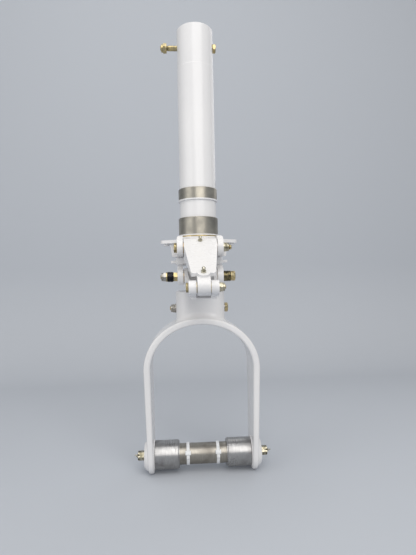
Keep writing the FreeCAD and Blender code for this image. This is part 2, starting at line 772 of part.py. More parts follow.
def link_channel(length, base_r, tip_half):
    """Tapered channel: an outer plate with a flange down each edge, pivot at 0."""
    end = length - LINK_END_SETBACK
    half = link_base_half()
    plate_in = LINK_PLATE_OUT - LINK_PLATE_T
    blank = side_slab([
        (0, 0, base_r),
        (end - LINK_EDGE_R, plate_in + LINK_EDGE_R, LINK_EDGE_R),
        (end - LINK_EDGE_R, LINK_PLATE_OUT - LINK_EDGE_R, LINK_EDGE_R),
    ], -half, half)
    outline = plan_slab([
        (-half, -base_r - 1, 0),
        (half, -base_r - 1, 0),
        (half - LINK_EDGE_R, LINK_SHOULDER, LINK_EDGE_R),
        (tip_half - LINK_CORNER_R, end - LINK_CORNER_R, LINK_CORNER_R),
        (LINK_CORNER_R - tip_half, end - LINK_CORNER_R, LINK_CORNER_R),
        (LINK_EDGE_R - half, LINK_SHOULDER, LINK_EDGE_R),
    ], -2 * base_r, 2 * LINK_PLATE_OUT)
    start = base_r + 1
    roof_start = link_plate_line(length, base_r, start, LINK_PLATE_T)
    under_side = side_slab([
        (start, -2 * base_r, 0),
        (length, -2 * base_r, 0),
        (length, plate_in, 0),
        (start, roof_start, 0),
    ], -half, half)
    inset = plan_slab([
        (LINK_FLANGE_T - half, start, 0),
        (half - LINK_FLANGE_T, start, 0),
        (half - LINK_FLANGE_T, LINK_SHOULDER, 0),
        (tip_half - LINK_FLANGE_T, length, 0),
        (LINK_FLANGE_T - tip_half, length, 0),
        (LINK_FLANGE_T - half, LINK_SHOULDER, 0),
    ], -3 * base_r, 2 * LINK_PLATE_OUT)
    return blank.common(outline).cut(under_side.common(inset))


def bush_bore():
    """Hole through a link's base for its bushes."""
    half = link_base_half()
    return rod_x(BOLT5_R + BUSH_WALL, -half - 1, half + 1)


def grease_boss(along):
    """Round boss on a link's plate for a grease fitting."""
    boss = rod(GREASE_BOSS_R, LINK_PLATE_OUT - LINK_PLATE_T / 2, LINK_PLATE_OUT + GREASE_BOSS_H)
    boss.translate(Vector(0, -along, 0))
    return boss


def knee_drift():
    """Where the knee bolt lies in the upper link half way through the stroke."""
    upper_start, upper_turn, lower_start, lower_turn = link_angles()
    upper = upper_start + upper_turn / 2
    lower = lower_start + lower_turn / 2
    knee_fwd = LOWER_PIVOT_FWD + LOWER_LINK_L * math.cos(lower)
    knee_z = LOWER_PIVOT_Z - STROKE / 2 + LOWER_LINK_L * math.sin(lower)
    off_fwd = knee_fwd - UPPER_PIVOT_FWD - UPPER_LINK_L * math.cos(upper)
    off_z = knee_z - UPPER_PIVOT_Z - UPPER_LINK_L * math.sin(upper)
    along = off_fwd * math.cos(upper) + off_z * math.sin(upper)
    across = off_z * math.cos(upper) - off_fwd * math.sin(upper)
    return along, across


def link_angles():
    """Start and turn of both links, in radians above forward, over the full stroke."""
    drop = UPPER_PIVOT_Z - LOWER_PIVOT_Z + STROKE
    reach = UPPER_PIVOT_FWD - LOWER_PIVOT_FWD
    span = math.hypot(drop, reach)
    tilt = math.atan2(-drop, -reach)
    cosine = (UPPER_LINK_L ** 2 + span ** 2 - LOWER_LINK_L ** 2) / (2 * UPPER_LINK_L * span)
    upper_end = tilt + math.acos(cosine)
    knee_fwd = UPPER_PIVOT_FWD + UPPER_LINK_L * math.cos(upper_end)
    knee_z = UPPER_PIVOT_Z + UPPER_LINK_L * math.sin(upper_end)
    lower_end = math.atan2(knee_z - LOWER_PIVOT_Z + STROKE, knee_fwd - LOWER_PIVOT_FWD)
    upper_start = math.atan2(KNEE_Z - UPPER_PIVOT_Z, KNEE_FWD - UPPER_PIVOT_FWD)
    lower_start = math.atan2(KNEE_Z - LOWER_PIVOT_Z, KNEE_FWD - LOWER_PIVOT_FWD)
    return upper_start, upper_end - upper_start, lower_start, lower_end - lower_start


def make_upper_link():
    """Upper torque link in its own frame: channel, knee lug with its slot, bosses."""
    length = UPPER_LINK_L
    half = link_base_half()
    drift_along, drift_across = knee_drift()
    channel = link_channel(length, UPPER_BASE_R, UPPER_TIP_HALF)
    base = rod_x(UPPER_BASE_R, -half, half)
    root = LINK_PLATE_OUT - LINK_PLATE_T / 2
    lug = side_slab([
        (length, 0, CENTRE_LUG_R),
        (length + KNEE_LUG_REACH, KNEE_LUG_REACH * drift_across / drift_along, CENTRE_LUG_R),
        (length - LINK_END_SETBACK, root, 0),
        (length - LUG_ROOT, root, 0),
    ], -CENTRE_LUG_HALF, CENTRE_LUG_HALF)
    boss = grease_boss(length - LINK_END_SETBACK)
    boss_foot = rod(GREASE_BOSS_R, 0, root)
    boss_foot.translate(Vector(0, LINK_END_SETBACK - length, 0))
    knee_r = BOLT4_R + KNEE_SLOT_PLAY
    slot = side_slab([
        (length, 0, knee_r),
        (length + drift_along, drift_across, knee_r),
    ], -CENTRE_LUG_HALF - 1, CENTRE_LUG_HALF + 1)
    link = joined([channel, base, lug, boss, boss_foot])
    spot_level = upper_fitting_level()
    spot_face = rod(GREASE_SPOT_R, spot_level, spot_level + GREASE_BOSS_R)
    spot_face.translate(Vector(0, -UPPER_FITTING_ALONG, 0))
    return link.cut([bush_bore(), slot, spot_face])


def upper_fitting_level():
    """Height of the spot face that the upper grease fitting stands on."""
    plate = link_plate_line(UPPER_LINK_L, UPPER_BASE_R, UPPER_FITTING_ALONG, 0)
    return plate - GREASE_SPOT_DEPTH


def make_lower_link():
    """Lower torque link in its own frame: channel, two knee lugs, relief between them."""
    length = LOWER_LINK_L
    half = link_base_half()
    drift = math.hypot(*knee_drift())
    channel = link_channel(length, LOWER_BASE_R, LOWER_TIP_HALF)
    base = rod_x(LOWER_BASE_R, -half, half)
    root = LINK_PLATE_OUT - LINK_PLATE_T / 2
    lug = side_slab([
        (length, 0, OUTER_LUG_R),
        (length - LINK_END_SETBACK, root, 0),
        (length - LUG_ROOT, root, 0),
    ], OUTER_LUG_X, KNEE_HALF)
    relief = rod_x(CENTRE_LUG_R + drift + SWEEP_PLAY, -OUTER_LUG_X, OUTER_LUG_X, length)
    knee_hole = rod_x(BOLT4_R + SEAT_FIT, -KNEE_HALF - 1, KNEE_HALF + 1, length)
    link = joined([channel.cut(relief), base] + both_sides(lug))
    link = link.cut(bush_bore()).cut(knee_hole)
    return link.mirror(Vector(0, 0, 0), Vector(0, 0, 1))


def link_bushes():
    """The two flanged bushes of a link's base."""
    half = link_base_half()
    outer = BOLT5_R + BUSH_WALL
    bush = turned([
        (BOLT5_R + RUN_FIT, 1.0),
        (outer - SEAT_FIT, 1.0),
        (outer - SEAT_FIT, half),
        (outer + BUSH_FLANGE_RIM, half),
        (outer + BUSH_FLANGE_RIM, half + BUSH_FLANGE_T),
        (BOLT5_R + RUN_FIT, half + BUSH_FLANGE_T),
    ])
    return both_sides(laid_along_x(bush, 0, 0, 0, 1))


def placed_link(shape, pivot_fwd, pivot_z, angle):
    """Turn a link's own-frame shape down to its angle and move it to its pivot."""
    placed = shape.copy()
    placed.rotate(Vector(0, 0, 0), Vector(1, 0, 0), -math.degrees(angle))
    placed.translate(Vector(0, -pivot_fwd, pivot_z))
    return placed


def on_upper_link(shape):
    """Place a shape of the upper link's frame."""
    return placed_link(shape, UPPER_PIVOT_FWD, UPPER_PIVOT_Z, link_angles()[0])


def on_lower_link(shape):
    """Place a shape of the lower link's frame."""
    return placed_link(shape, LOWER_PIVOT_FWD, LOWER_PIVOT_Z, link_angles()[2])


def make_grease_fittings():
    """Grease fittings of the upper link, over its base and over its knee."""
    spots = [
        (UPPER_FITTING_ALONG, upper_fitting_level()),
        (UPPER_LINK_L - LINK_END_SETBACK, LINK_PLATE_OUT + GREASE_BOSS_H),
    ]
    fittings = []
    for along, level in spots:
        fitting = grease_fitting()
        fitting.translate(Vector(0, -along, level))
        fittings.append(on_upper_link(fitting))
    return fittings


def make_knee_bolt():
    """Knee bolt, its head on the left; it is carried by the lower link."""
    grip = 2 * KNEE_HALF + WASHER_T + NUT4_H + BOLT_TIP
    bolt = hex_bolt(BOLT4_R, HEX4_FLATS, HEAD4_H, grip)
    return laid_along_x(bolt, -KNEE_HALF, KNEE_FWD, KNEE_Z, -1)


def make_knee_nut():
    """Lock nut and washer on the knee bolt."""
    nut = lock_nut(BOLT4_R, HEX4_FLATS, NUT4_H)
    nut.translate(Vector(0, 0, WASHER_T))
    stack = [washer(BOLT4_R), nut]
    return [laid_along_x(item, KNEE_HALF, KNEE_FWD, KNEE_Z, 1) for item in stack]


def make_knee_washers():
    """Thin washer on each side of the centre lug, seated on the outer lugs."""
    ring = washer(BOLT4_R + KNEE_SLOT_PLAY, KNEE_WASHER_T)
    right = laid_along_x(ring, OUTER_LUG_X, KNEE_FWD, KNEE_Z, -1)
    return both_sides(right)


# ------------------------------------------------------------ piston group
def make_piston():
    """Chromed piston tube, with the cross hole of the fork's bolt."""
    piston = tube(PISTON_R, PISTON_BORE_R, SOCKET_FLOOR_Z, PISTON_HEAD_Z)
    return piston.cut(rod_x(BOLT5_R + SEAT_FIT, -PISTON_R - 1, PISTON_R + 1, 0, FORK_BOLT_Z))


def make_head_bearing():
    """Bronze bearing ring on the piston's head, with one oil groove."""
    high = PISTON_HEAD_Z - HEAD_BEARING_DROP
    low = high - HEAD_BEARING_H
    groove_low = (high + low - HEAD_RING_W) / 2
    rim = BARREL_BORE_R - RUN_FIT
    return turned([
        (PISTON_R + SEAT_FIT, low),
        (rim, low),
        (rim, groove_low),
        (rim - HEAD_RING_DEPTH, groove_low),
        (rim - HEAD_RING_DEPTH, groove_low + HEAD_RING_W),
        (rim, groove_low + HEAD_RING_W),
        (rim, high),
        (PISTON_R + SEAT_FIT, high),
    ])


def base_plug_top():
    """Height of the base plug's top face."""
    return SOCKET_FLOOR_Z + BASE_PLUG_H


def make_base_plug():
    """Plug that closes the piston's foot and carries the metering pin."""
    rim = PISTON_BORE_R - SEAT_FIT
    depth = SEAL_SECTION - SEAL_SQUASH
    groove_high = base_plug_top() - SEAL_SECTION
    groove_low = groove_high - SEAL_SECTION
    plug = turned([
        (0, SOCKET_FLOOR_Z),
        (rim, SOCKET_FLOOR_Z),
        (rim, groove_low),
        (rim - depth, groove_low),
        (rim - depth, groove_high),
        (rim, groove_high),
        (rim, base_plug_top()),
        (0, base_plug_top()),
    ])
    return plug.cut(rod_x(BOLT5_R + SEAT_FIT, -PISTON_R, PISTON_R, 0, FORK_BOLT_Z))


def make_base_seal():
    """Seal in the base plug's groove."""
    low = base_plug_top() - 2 * SEAL_SECTION
    groove_r = PISTON_BORE_R - SEAT_FIT - SEAL_SECTION + SEAL_SQUASH
    return seal_ring(groove_r, PISTON_BORE_R, low)


def make_metering_pin():
    """Tapered pin that fills the orifice as the strut closes."""
    foot = base_plug_top()
    tip = ORIFICE_PLATE_Z + STROKE + PIN_OVERREACH
    return turned([
        (0, foot),
        (PIN_COLLAR_R, foot),
        (PIN_COLLAR_R, foot + PIN_COLLAR_H),
        (PIN_R, foot + PIN_COLLAR_H),
        (PIN_R, tip - PIN_TAPER_H),
        (PIN_TIP_R, tip - PIN_TIP_R),
        (PIN_TIP_R / 2, tip),
        (0, tip),
    ])


def make_lug_ring():
    """Ring clamped on the piston, with two ears for the lower torque link."""
    middle = LOWER_PIVOT_Z
    low = middle - RING_H / 2
    high = middle + RING_H / 2
    corner = 2 * COLLAR_CHAMFER
    hub = plan_slab([
        (corner - LUG_FACE_X, -CHEEK_BACK, corner),
        (0, -1, RING_R),
        (LUG_FACE_X - corner, -CHEEK_BACK, corner),
        (LUG_FACE_X - corner, CHEEK_BACK, corner),
        (corner - LUG_FACE_X, CHEEK_BACK, corner),
    ], low, high)
    ear = side_slab([
        (-CHEEK_BACK + corner, low + corner, corner),
        (LOWER_PIVOT_FWD, middle, LOWER_BASE_R),
        (EAR_TOP_FWD, GLAND_FOOT_Z - EAR_TOP_GAP - EAR_TOP_R, EAR_TOP_R),
        (-CHEEK_BACK + corner, high - corner, corner),
    ], LINK_FACE_X, LUG_FACE_X)
    blank = joined([hub] + both_sides(ear))
    gap = rod_x(
        LOWER_BASE_R + COLLAR_PLAY, -LINK_FACE_X, LINK_FACE_X, LOWER_PIVOT_FWD, middle
    )
    pivot = rod_x(BOLT5_R + SEAT_FIT, -LUG_FACE_X - 1, LUG_FACE_X + 1, LOWER_PIVOT_FWD, middle)
    bore = rod(PISTON_R + SEAT_FIT, low - 1, high + 1)
    return blank.cut(gap).cut(pivot).cut(bore)


def sleeve_stack_left():
    """Outer faces of the left-hand hexagon sleeve and tow-bar sleeve."""
    hex_out = LUG_FACE_X + HEX_SLEEVE_LEN
    return hex_out, hex_out + LEFT_SLEEVE_LEN


def make_hex_sleeve():
    """Gold hexagon sleeve between the left ear and the tow-bar sleeve."""
    sleeve = chamfered_hexagon(HEX5_FLATS, HEX_SLEEVE_LEN)
    sleeve = sleeve.cut(rod(BOLT5_R + SEAT_FIT, -1, HEX_SLEEVE_LEN + 1))
    return laid_along_x(sleeve, -LUG_FACE_X, LOWER_PIVOT_FWD, LOWER_PIVOT_Z, -1)


def make_tow_sleeve_left():
    """Left-hand sleeve that the tow bar takes."""
    hex_out = sleeve_stack_left()[0]
    sleeve = tube(LEFT_SLEEVE_R, BOLT5_R + SEAT_FIT, 0, LEFT_SLEEVE_LEN)
    return laid_along_x(sleeve, -hex_out, LOWER_PIVOT_FWD, LOWER_PIVOT_Z, -1)


def make_tow_sleeve_right():
    """Right-hand sleeve that the tow bar takes."""
    sleeve = tube(RIGHT_SLEEVE_R, BOLT5_R + SEAT_FIT, 0, RIGHT_SLEEVE_LEN)
    return laid_along_x(sleeve, LUG_FACE_X, LOWER_PIVOT_FWD, LOWER_PIVOT_Z, 1)


def make_lower_pivot_bolt():
    """Long bolt through the ears, the lower link and both tow-bar sleeves."""
    seat = LUG_FACE_X + RIGHT_SLEEVE_LEN + WASHER_T
    left_end = sleeve_stack_left()[1] + WASHER_T + NUT5_H + BOLT_TIP
    bolt = hex_bolt(BOLT5_R, HEX5_FLATS, HEAD5_H, seat + left_end)
    return laid_along_x(bolt, seat, LOWER_PIVOT_FWD, LOWER_PIVOT_Z, 1)


def make_lower_pivot_washers():
    """Washers under the lower pivot bolt's head and nut."""
    right = laid_along_x(
        washer(BOLT5_R), LUG_FACE_X + RIGHT_SLEEVE_LEN, LOWER_PIVOT_FWD, LOWER_PIVOT_Z, 1
    )
    left = laid_along_x(
        washer(BOLT5_R), -sleeve_stack_left()[1], LOWER_PIVOT_FWD, LOWER_PIVOT_Z, -1
    )
    return [left, right]


def make_lower_pivot_nut():
    """Lock nut at the lower pivot bolt's left end."""
    nut = lock_nut(BOLT5_R, HEX5_FLATS, NUT5_H)
    seat = sleeve_stack_left()[1] + WASHER_T
    return laid_along_x(nut, -seat, LOWER_PIVOT_FWD, LOWER_PIVOT_Z, -1)


# -------------------------------------------------------------- fork group
def arch_line(half, rise, foot_half, foot_z):
    """Edges of one arch: half an ellipse, then two straight legs down to foot_z."""
    ellipse = Part.Ellipse(Vector(0, 0, ARCH_CENTRE_Z), max(half, rise), min(half, rise))
    ellipse.Axis = Vector(0, -1, 0)
    ellipse.XAxis = Vector(1, 0, 0) if half >= rise else Vector(0, 0, 1)
    start = 0 if half >= rise else -math.pi / 2
    crown = Part.Arc(ellipse, start, start + math.pi).toShape()
    right_end = Vector(half, 0, ARCH_CENTRE_Z)
    left_end = Vector(-half, 0, ARCH_CENTRE_Z)
    right_foot = Vector(foot_half, 0, foot_z)
    left_foot = Vector(-foot_half, 0, foot_z)
    edges = [
        crown,
        Part.LineSegment(right_end, right_foot).toShape(),
        Part.LineSegment(right_foot, left_foot).toShape(),
        Part.LineSegment(left_foot, left_end).toShape(),
    ]
    return Part.Wire(Part.sortEdges(edges)[0])


def arch_slab(half, rise, foot_half, depth):
    """Solid inside one arch line, centred across Y."""
    face = Part.Face(arch_line(half, rise, foot_half, AXLE_Z - FORK_EYE_R))
    slab = face.extrude(Vector(0, depth, 0))
    slab.translate(Vector(0, -depth / 2, 0))
    return slab


def fork_side_outline():
    """Solid that gives the fork its side view: deepest at the crown, round at the eyes."""
    reach = 2 * BOSS_FACE_X
    crown_top = CROWN_UNDER_Z + CROWN_T
    shoulder = CROWN_HALF_DEPTH - CROWN_CORNER_R
    return side_slab([
        (0, AXLE_Z, FORK_EYE_R),
        (shoulder, CROWN_UNDER_Z, CROWN_CORNER_R),
        (shoulder, crown_top, CROWN_CORNER_R),
        (-shoulder, crown_top, CROWN_CORNER_R),
        (-shoulder, CROWN_UNDER_Z, CROWN_CORNER_R),
    ], -reach, reach)


def sharp_edges(solid):
    """The solid's edges where its faces meet at a right angle or near it."""
    found = []
    for edge in solid.Edges:
        faces = solid.ancestorsOfType(edge, Part.Face)
        if len(faces) < 2:
            continue
        middle = edge.valueAt((edge.FirstParameter + edge.LastParameter) / 2)
        normals = [face.normalAt(*face.Surface.parameter(middle)) for face in faces[:2]]
        if abs(normals[0].dot(normals[1])) < math.cos(math.radians(60)):
            found.append(edge)
    return found


def fork_arch(half, rise, foot_half):
    """Slab of one arch line, deeper than the fork."""
    return arch_slab(half, rise, foot_half, 4 * CROWN_HALF_DEPTH)


def fork_inside():
    """The space inside the arch."""
    return fork_arch(ARCH_HALF, ARCH_RISE, ARM_HALF_AT_AXLE + EYE_PAD_H)


def fork_bar():
    """Flat bar bent into the arch and two legs, its long edges rounded."""
    outer_foot = ARM_HALF_AT_AXLE + FORK_ARM_T_AT_AXLE
    outer = fork_arch(ARCH_HALF + FORK_ARM_T, ARCH_RISE + CROWN_T, outer_foot)
    bar = outer.cut(fork_inside()).common(fork_side_outline()).removeSplitter()
    return bar.makeFillet(FORK_EDGE_R, sharp_edges(bar))


def fork_socket():
    """Rounded square block for the piston's foot, chamfered round its top."""
    corner_x = SOCKET_HALF_W - SOCKET_CORNER_R
    corner_y = SOCKET_HALF_D - SOCKET_CORNER_R
    block = plan_slab([
        (-corner_x, -corner_y, SOCKET_CORNER_R),
        (corner_x, -corner_y, SOCKET_CORNER_R),
        (corner_x, corner_y, SOCKET_CORNER_R),
        (-corner_x, corner_y, SOCKET_CORNER_R),
    ], CROWN_UNDER_Z - CROWN_T / 2, FORK_TOP_Z)
    rim = [edge for edge in block.Edges if edge.BoundBox.ZMin > FORK_TOP_Z - SOCKET_CHAMFER]
    return block.makeChamfer(SOCKET_CHAMFER, rim)


def socket_foot(fork):
    """The edges where the socket stands on the arch."""
    foot = FreeCAD.BoundBox(
        -SOCKET_HALF_W, -SOCKET_HALF_D, CROWN_UNDER_Z,
        SOCKET_HALF_W, SOCKET_HALF_D, CROWN_UNDER_Z + CROWN_T,
    )
    foot.enlarge(SIDE_PLAY)
    return [edge for edge in fork.Edges if foot.isInside(edge.BoundBox)]


def fork_boss():
    """Raised face round the stud's hole on the outside of a leg, from Z = 0."""
    return turned([
        (0, -FORK_ARM_T_AT_AXLE / 2),
        (BOSS_R + BOSS_CHAMFER / 2, -FORK_ARM_T_AT_AXLE / 2),
        (BOSS_R + BOSS_CHAMFER / 2, 0),
        (BOSS_R, BOSS_H - BOSS_CHAMFER),
        (BOSS_R - BOSS_CHAMFER, BOSS_H),
        (0, BOSS_H),
    ])


def make_fork():
    """Wheel fork: a socket for the piston over a flat-bar arch with two eyes."""
    outer_foot = ARM_HALF_AT_AXLE + FORK_ARM_T_AT_AXLE
    crown = joined([fork_bar(), fork_socket()]).cut(fork_inside()).removeSplitter()
    crown = crown.makeFillet(CROWN_FILLET, socket_foot(crown))
    boss = laid_along_x(fork_boss(), outer_foot, 0, AXLE_Z, 1)
    pad = rod_x(SPACER_R + EYE_PAD_RIM, ARM_HALF_AT_AXLE, outer_foot, 0, AXLE_Z)
    fork = joined([crown] + both_sides(boss) + both_sides(pad))
    bore = rod(PISTON_R + SEAT_FIT, SOCKET_FLOOR_Z, FORK_TOP_Z + 1)
    cross_hole = rod_x(BOLT5_R + SEAT_FIT, -SOCKET_HALF_W - 1, SOCKET_HALF_W + 1, 0, FORK_BOLT_Z)
    stud_hole = rod_x(BOLT5_R + SEAT_FIT, -BOSS_FACE_X - 1, BOSS_FACE_X + 1, 0, AXLE_Z)
    return fork.cut(bore).cut(cross_hole).cut(stud_hole)


def make_fork_bolt():
    """Bolt through the fork's socket and the piston's foot, its head on the right."""
    seat = SOCKET_HALF_W + WASHER_T
    bolt = hex_bolt(BOLT5_R, HEX5_FLATS, HEAD5_H, 2 * seat + NUT5_H + BOLT_TIP)
    return laid_along_x(bolt, seat, 0, FORK_BOLT_Z, 1)


def make_fork_nut():
    """Lock nut of the fork's bolt, with the washers of nut and head."""
    nut = lock_nut(BOLT5_R, HEX5_FLATS, NUT5_H)
    seat = SOCKET_HALF_W + WASHER_T
    return [
        laid_along_x(nut, -seat, 0, FORK_BOLT_Z, -1),
        laid_along_x(washer(BOLT5_R), -SOCKET_HALF_W, 0, FORK_BOLT_Z, -1),
        laid_along_x(washer(BOLT5_R), SOCKET_HALF_W, 0, FORK_BOLT_Z, 1),
    ]


# -------------------------------------------------------------- axle group
def make_axle_tube():
    """Axle tube between the fork's arms, its ends thickened round the stud."""
    end = ARM_HALF_AT_AXLE
    bore_r = AXLE_R - AXLE_WALL
    axle = turned([
        (BOLT5_R + SEAT_FIT, -end),
        (AXLE_R, -end),
        (AXLE_R, end),
        (BOLT5_R + SEAT_FIT, end),
        (BOLT5_R + SEAT_FIT, end - AXLE_END_T),
        (bore_r, end - AXLE_END_T),
        (bore_r, AXLE_END_T - end),
        (BOLT5_R + SEAT_FIT, AXLE_END_T - end),
    ])
    return laid_along_x(axle, 0, 0, AXLE_Z, 1)


def make_wheel_spacers():
    """Spacer sleeve at each end of the axle, with a lip at its inner end."""
    spacer = turned([
        (AXLE_R + SEAT_FIT, 0),
        (SPACER_R - SPACER_CHAMFER, 0),
        (SPACER_R, SPACER_CHAMFER),
        (SPACER_R, SPACER_LEN - 2 * SPACER_LIP),
        (SPACER_R - SPACER_LIP, SPACER_LEN - SPACER_LIP),
        (SPACER_R - SPACER_LIP, SPACER_LEN),
        (AXLE_R + SEAT_FIT, SPACER_LEN),
    ])
    return both_sides(laid_along_x(spacer, ARM_HALF_AT_AXLE, 0, AXLE_Z, -1))


def stud_half():
    """Half length of the axle stud."""
    return BOSS_FACE_X + WASHER_T + CASTLE_NUT_H + STUD_STICKOUT


def make_axle_stud():
    """Threaded stud through fork and axle tube."""
    half = stud_half()
    stud = turned([
        (0, -half),
        (BOLT5_R - BOLT_TIP / 2, -half),
        (BOLT5_R, BOLT_TIP / 2 - half),
        (BOLT5_R, half - BOLT_TIP / 2),
        (BOLT5_R - BOLT_TIP / 2, half),
        (0, half),
    ])
    stud = laid_along_x(stud, 0, 0, AXLE_Z, 1)
    return stud.cut(make_axle_cotters())


def make_axle_nuts():
    """Castle nut and washer at each end of the axle stud."""
    nut = castle_nut(BOLT5_R, HEX5_FLATS, CASTLE_NUT_H)
    nut.translate(Vector(0, 0, WASHER_T))
    pieces = []
    for item in (washer(BOLT5_R), nut):
        pieces += both_sides(laid_along_x(item, BOSS_FACE_X, 0, AXLE_Z, 1))
    return pieces


def make_axle_cotters():
    """Cotter pin through each castle nut."""
    pin = cotter_pin(HEX5_FLATS, CASTLE_NUT_H)
    return both_sides(laid_along_x(pin, BOSS_FACE_X + WASHER_T, 0, AXLE_Z, 1))


def make_cable_ties():
    """Two nylon ties round the axle, each with its ratchet head and cut-off tail."""
    ties = []
    inner = AXLE_R + SEAT_FIT
    face = inner + TIE_T / 2
    head_middle = face + TIE_HEAD_T / 2
    lift = math.radians(TIE_HEAD_LIFT)
    for centre_x in (TIE_LEFT_X, TIE_RIGHT_X):
        strap = tube(inner + TIE_T, inner, -TIE_W / 2, TIE_W / 2)
        strap = laid_along_x(strap, centre_x, 0, AXLE_Z, 1)
        head = Part.makeBox(
            TIE_HEAD_W, TIE_HEAD_T + TIE_T, TIE_HEAD_H,
            Vector(centre_x - TIE_HEAD_W / 2, -face - TIE_HEAD_T, AXLE_Z - TIE_HEAD_H / 2),
        )
        head.rotate(Vector(0, 0, AXLE_Z), Vector(-1, 0, 0), TIE_HEAD_LIFT)
        tail = side_slab([
            (face, AXLE_Z - TIE_TAIL_L, TIE_T / 2),
            (head_middle, AXLE_Z, TIE_T / 2),
            (head_middle * math.cos(lift), AXLE_Z + head_middle * math.sin(lift), TIE_T / 2),
        ], centre_x - TIE_W / 2, centre_x + TIE_W / 2)
        core = rod_x(inner, centre_x - TIE_HEAD_W, centre_x + TIE_HEAD_W, 0, AXLE_Z)
        ties.append(joined([strap, head, tail]).cut(core))
    return ties


# ------------------------------------------------------------------- export
def write(name, pieces):
    """Write one node: a single solid, or a compound of several."""
    shape = Part.makeCompound(pieces) if isinstance(pieces, list) else pieces
    shape.exportStep(os.path.join("parts", name + ".step"))


def main():
    """Build every node and write its file."""
    os.makedirs("parts", exist_ok=True)
    nodes = {
        "barrel": make_barrel(),
        "head_plug": make_head_plug(),
        "head_seal": make_head_seal(),
        "filler_valve": make_filler_valve(),
        "orifice_tube": make_orifice_tube(),
        "orifice_plate": make_orifice_plate(),
        "attach_bolt": make_attach_bolt(),
        "attach_nut": make_attach_nut(),
        "thrust_shim": make_thrust_shim(),
        "gland_nut": make_gland_nut(),
        "lower_bearing": make_lower_bearing(),
        "bearing_seals": make_bearing_seals(),
        "bearing_retainer": make_bearing_retainer(),
        "scraper": make_scraper(),
        "steering_collar": make_steering_collar(),
        "steering_arm_bushes": make_arm_bushes(),
        "upper_pivot_bolt": make_upper_pivot_bolt(),
        "upper_pivot_nut": make_upper_pivot_nut(),
        "upper_torque_link": on_upper_link(make_upper_link()),
        "upper_link_bushes": [on_upper_link(bush) for bush in link_bushes()],
        "grease_fittings": make_grease_fittings(),
        "lower_torque_link": on_lower_link(make_lower_link()),
        "lower_link_bushes": [on_lower_link(bush) for bush in link_bushes()],
        "knee_bolt": make_knee_bolt(),
        "knee_nut": make_knee_nut(),
        "knee_washers": make_knee_washers(),
        "piston": make_piston(),
        "head_bearing": make_head_bearing(),
        "base_plug": make_base_plug(),
        "base_seal": make_base_seal(),
        "metering_pin": make_metering_pin(),
        "lug_ring": make_lug_ring(),
        "lower_pivot_bolt": make_lower_pivot_bolt(),
        "lower_pivot_washers": make_lower_pivot_washers(),
        "lower_pivot_nut": make_lower_pivot_nut(),
        "hex_sleeve": make_hex_sleeve(),
        "tow_sleeve_left": make_tow_sleeve_left(),
        "tow_sleeve_right": make_tow_sleeve_right(),
        "fork": make_fork(),
        "fork_bolt": make_fork_bolt(),
        "fork_nut": make_fork_nut(),
        "axle_tube": make_axle_tube(),
        "wheel_spacers": make_wheel_spacers(),
        "axle_stud": make_axle_stud(),
        "axle_nuts": make_axle_nuts(),
        "axle_cotters": make_axle_cotters(),
        "cable_ties": make_cable_ties(),
    }
    for name, pieces in nodes.items():
        write(name, pieces)
    upper_start, upper_turn, lower_start, lower_turn = link_angles()
    print("upper link turns", math.degrees(upper_turn), "deg")
    print("lower link turns", math.degrees(lower_turn), "deg")
    print("knee drift", knee_drift(), "starts", upper_start, lower_start)


main()
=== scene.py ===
import math

import bpy
from mathutils import Matrix, Vector


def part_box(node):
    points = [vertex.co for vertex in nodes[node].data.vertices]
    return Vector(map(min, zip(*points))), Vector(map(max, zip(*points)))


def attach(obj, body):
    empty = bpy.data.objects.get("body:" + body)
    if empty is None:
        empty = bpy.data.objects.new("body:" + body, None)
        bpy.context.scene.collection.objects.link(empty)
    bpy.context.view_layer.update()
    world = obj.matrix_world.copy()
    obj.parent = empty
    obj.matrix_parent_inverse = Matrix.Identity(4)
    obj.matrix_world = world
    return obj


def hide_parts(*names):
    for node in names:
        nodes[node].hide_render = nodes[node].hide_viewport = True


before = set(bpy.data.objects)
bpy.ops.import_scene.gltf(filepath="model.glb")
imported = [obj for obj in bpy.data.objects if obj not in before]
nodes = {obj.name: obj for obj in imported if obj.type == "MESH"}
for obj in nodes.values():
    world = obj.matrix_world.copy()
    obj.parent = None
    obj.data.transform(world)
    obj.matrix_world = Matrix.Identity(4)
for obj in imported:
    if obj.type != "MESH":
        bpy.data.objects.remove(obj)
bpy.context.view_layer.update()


# Barrel: a thick steel tube, enamelled gloss white all over but for its two
# clamp lands, which are masked off and left as smooth turned steel.
ENAMEL_WHITE = (0.80, 0.795, 0.80, 1)
ENAMEL_SHADE = (0.765, 0.76, 0.77, 1)
ENAMEL_ROUGHNESS = 0.20
ENAMEL_CLOUDS = 9
ORANGE_PEEL = 160
TURNED_STEEL = (0.46, 0.425, 0.355, 1)
TURNED_STEEL_DARK = (0.31, 0.29, 0.25, 1)
LAND_MIDDLES = (0.0, 0.0502)
LAND_HALF_HEIGHTS = (0.01325, 0.0086)
LAND_STAINS = 55
LAND_ROUGHNESS = (0.30, 0.42)
LATHE_RINGS = 90
RINGS_ROUND_Z = (1, 1, 30)
BARREL_RELIEF = 0.000008
WIDE_EDGES = (0.3, 0.7)
CLOUD_EDGES = (0.35, 0.7)
STAIN_EDGES = (0.35, 0.68)


def new_finish(name):
    """Material with a Principled shader, and object coordinates to drive it."""
    finish = bpy.data.materials.new(name)
    finish.use_nodes = True
    shader = finish.node_tree.nodes["Principled BSDF"]
    place = finish.node_tree.nodes.new("ShaderNodeTexCoord")
    return finish, finish.node_tree, shader, place.outputs["Object"]


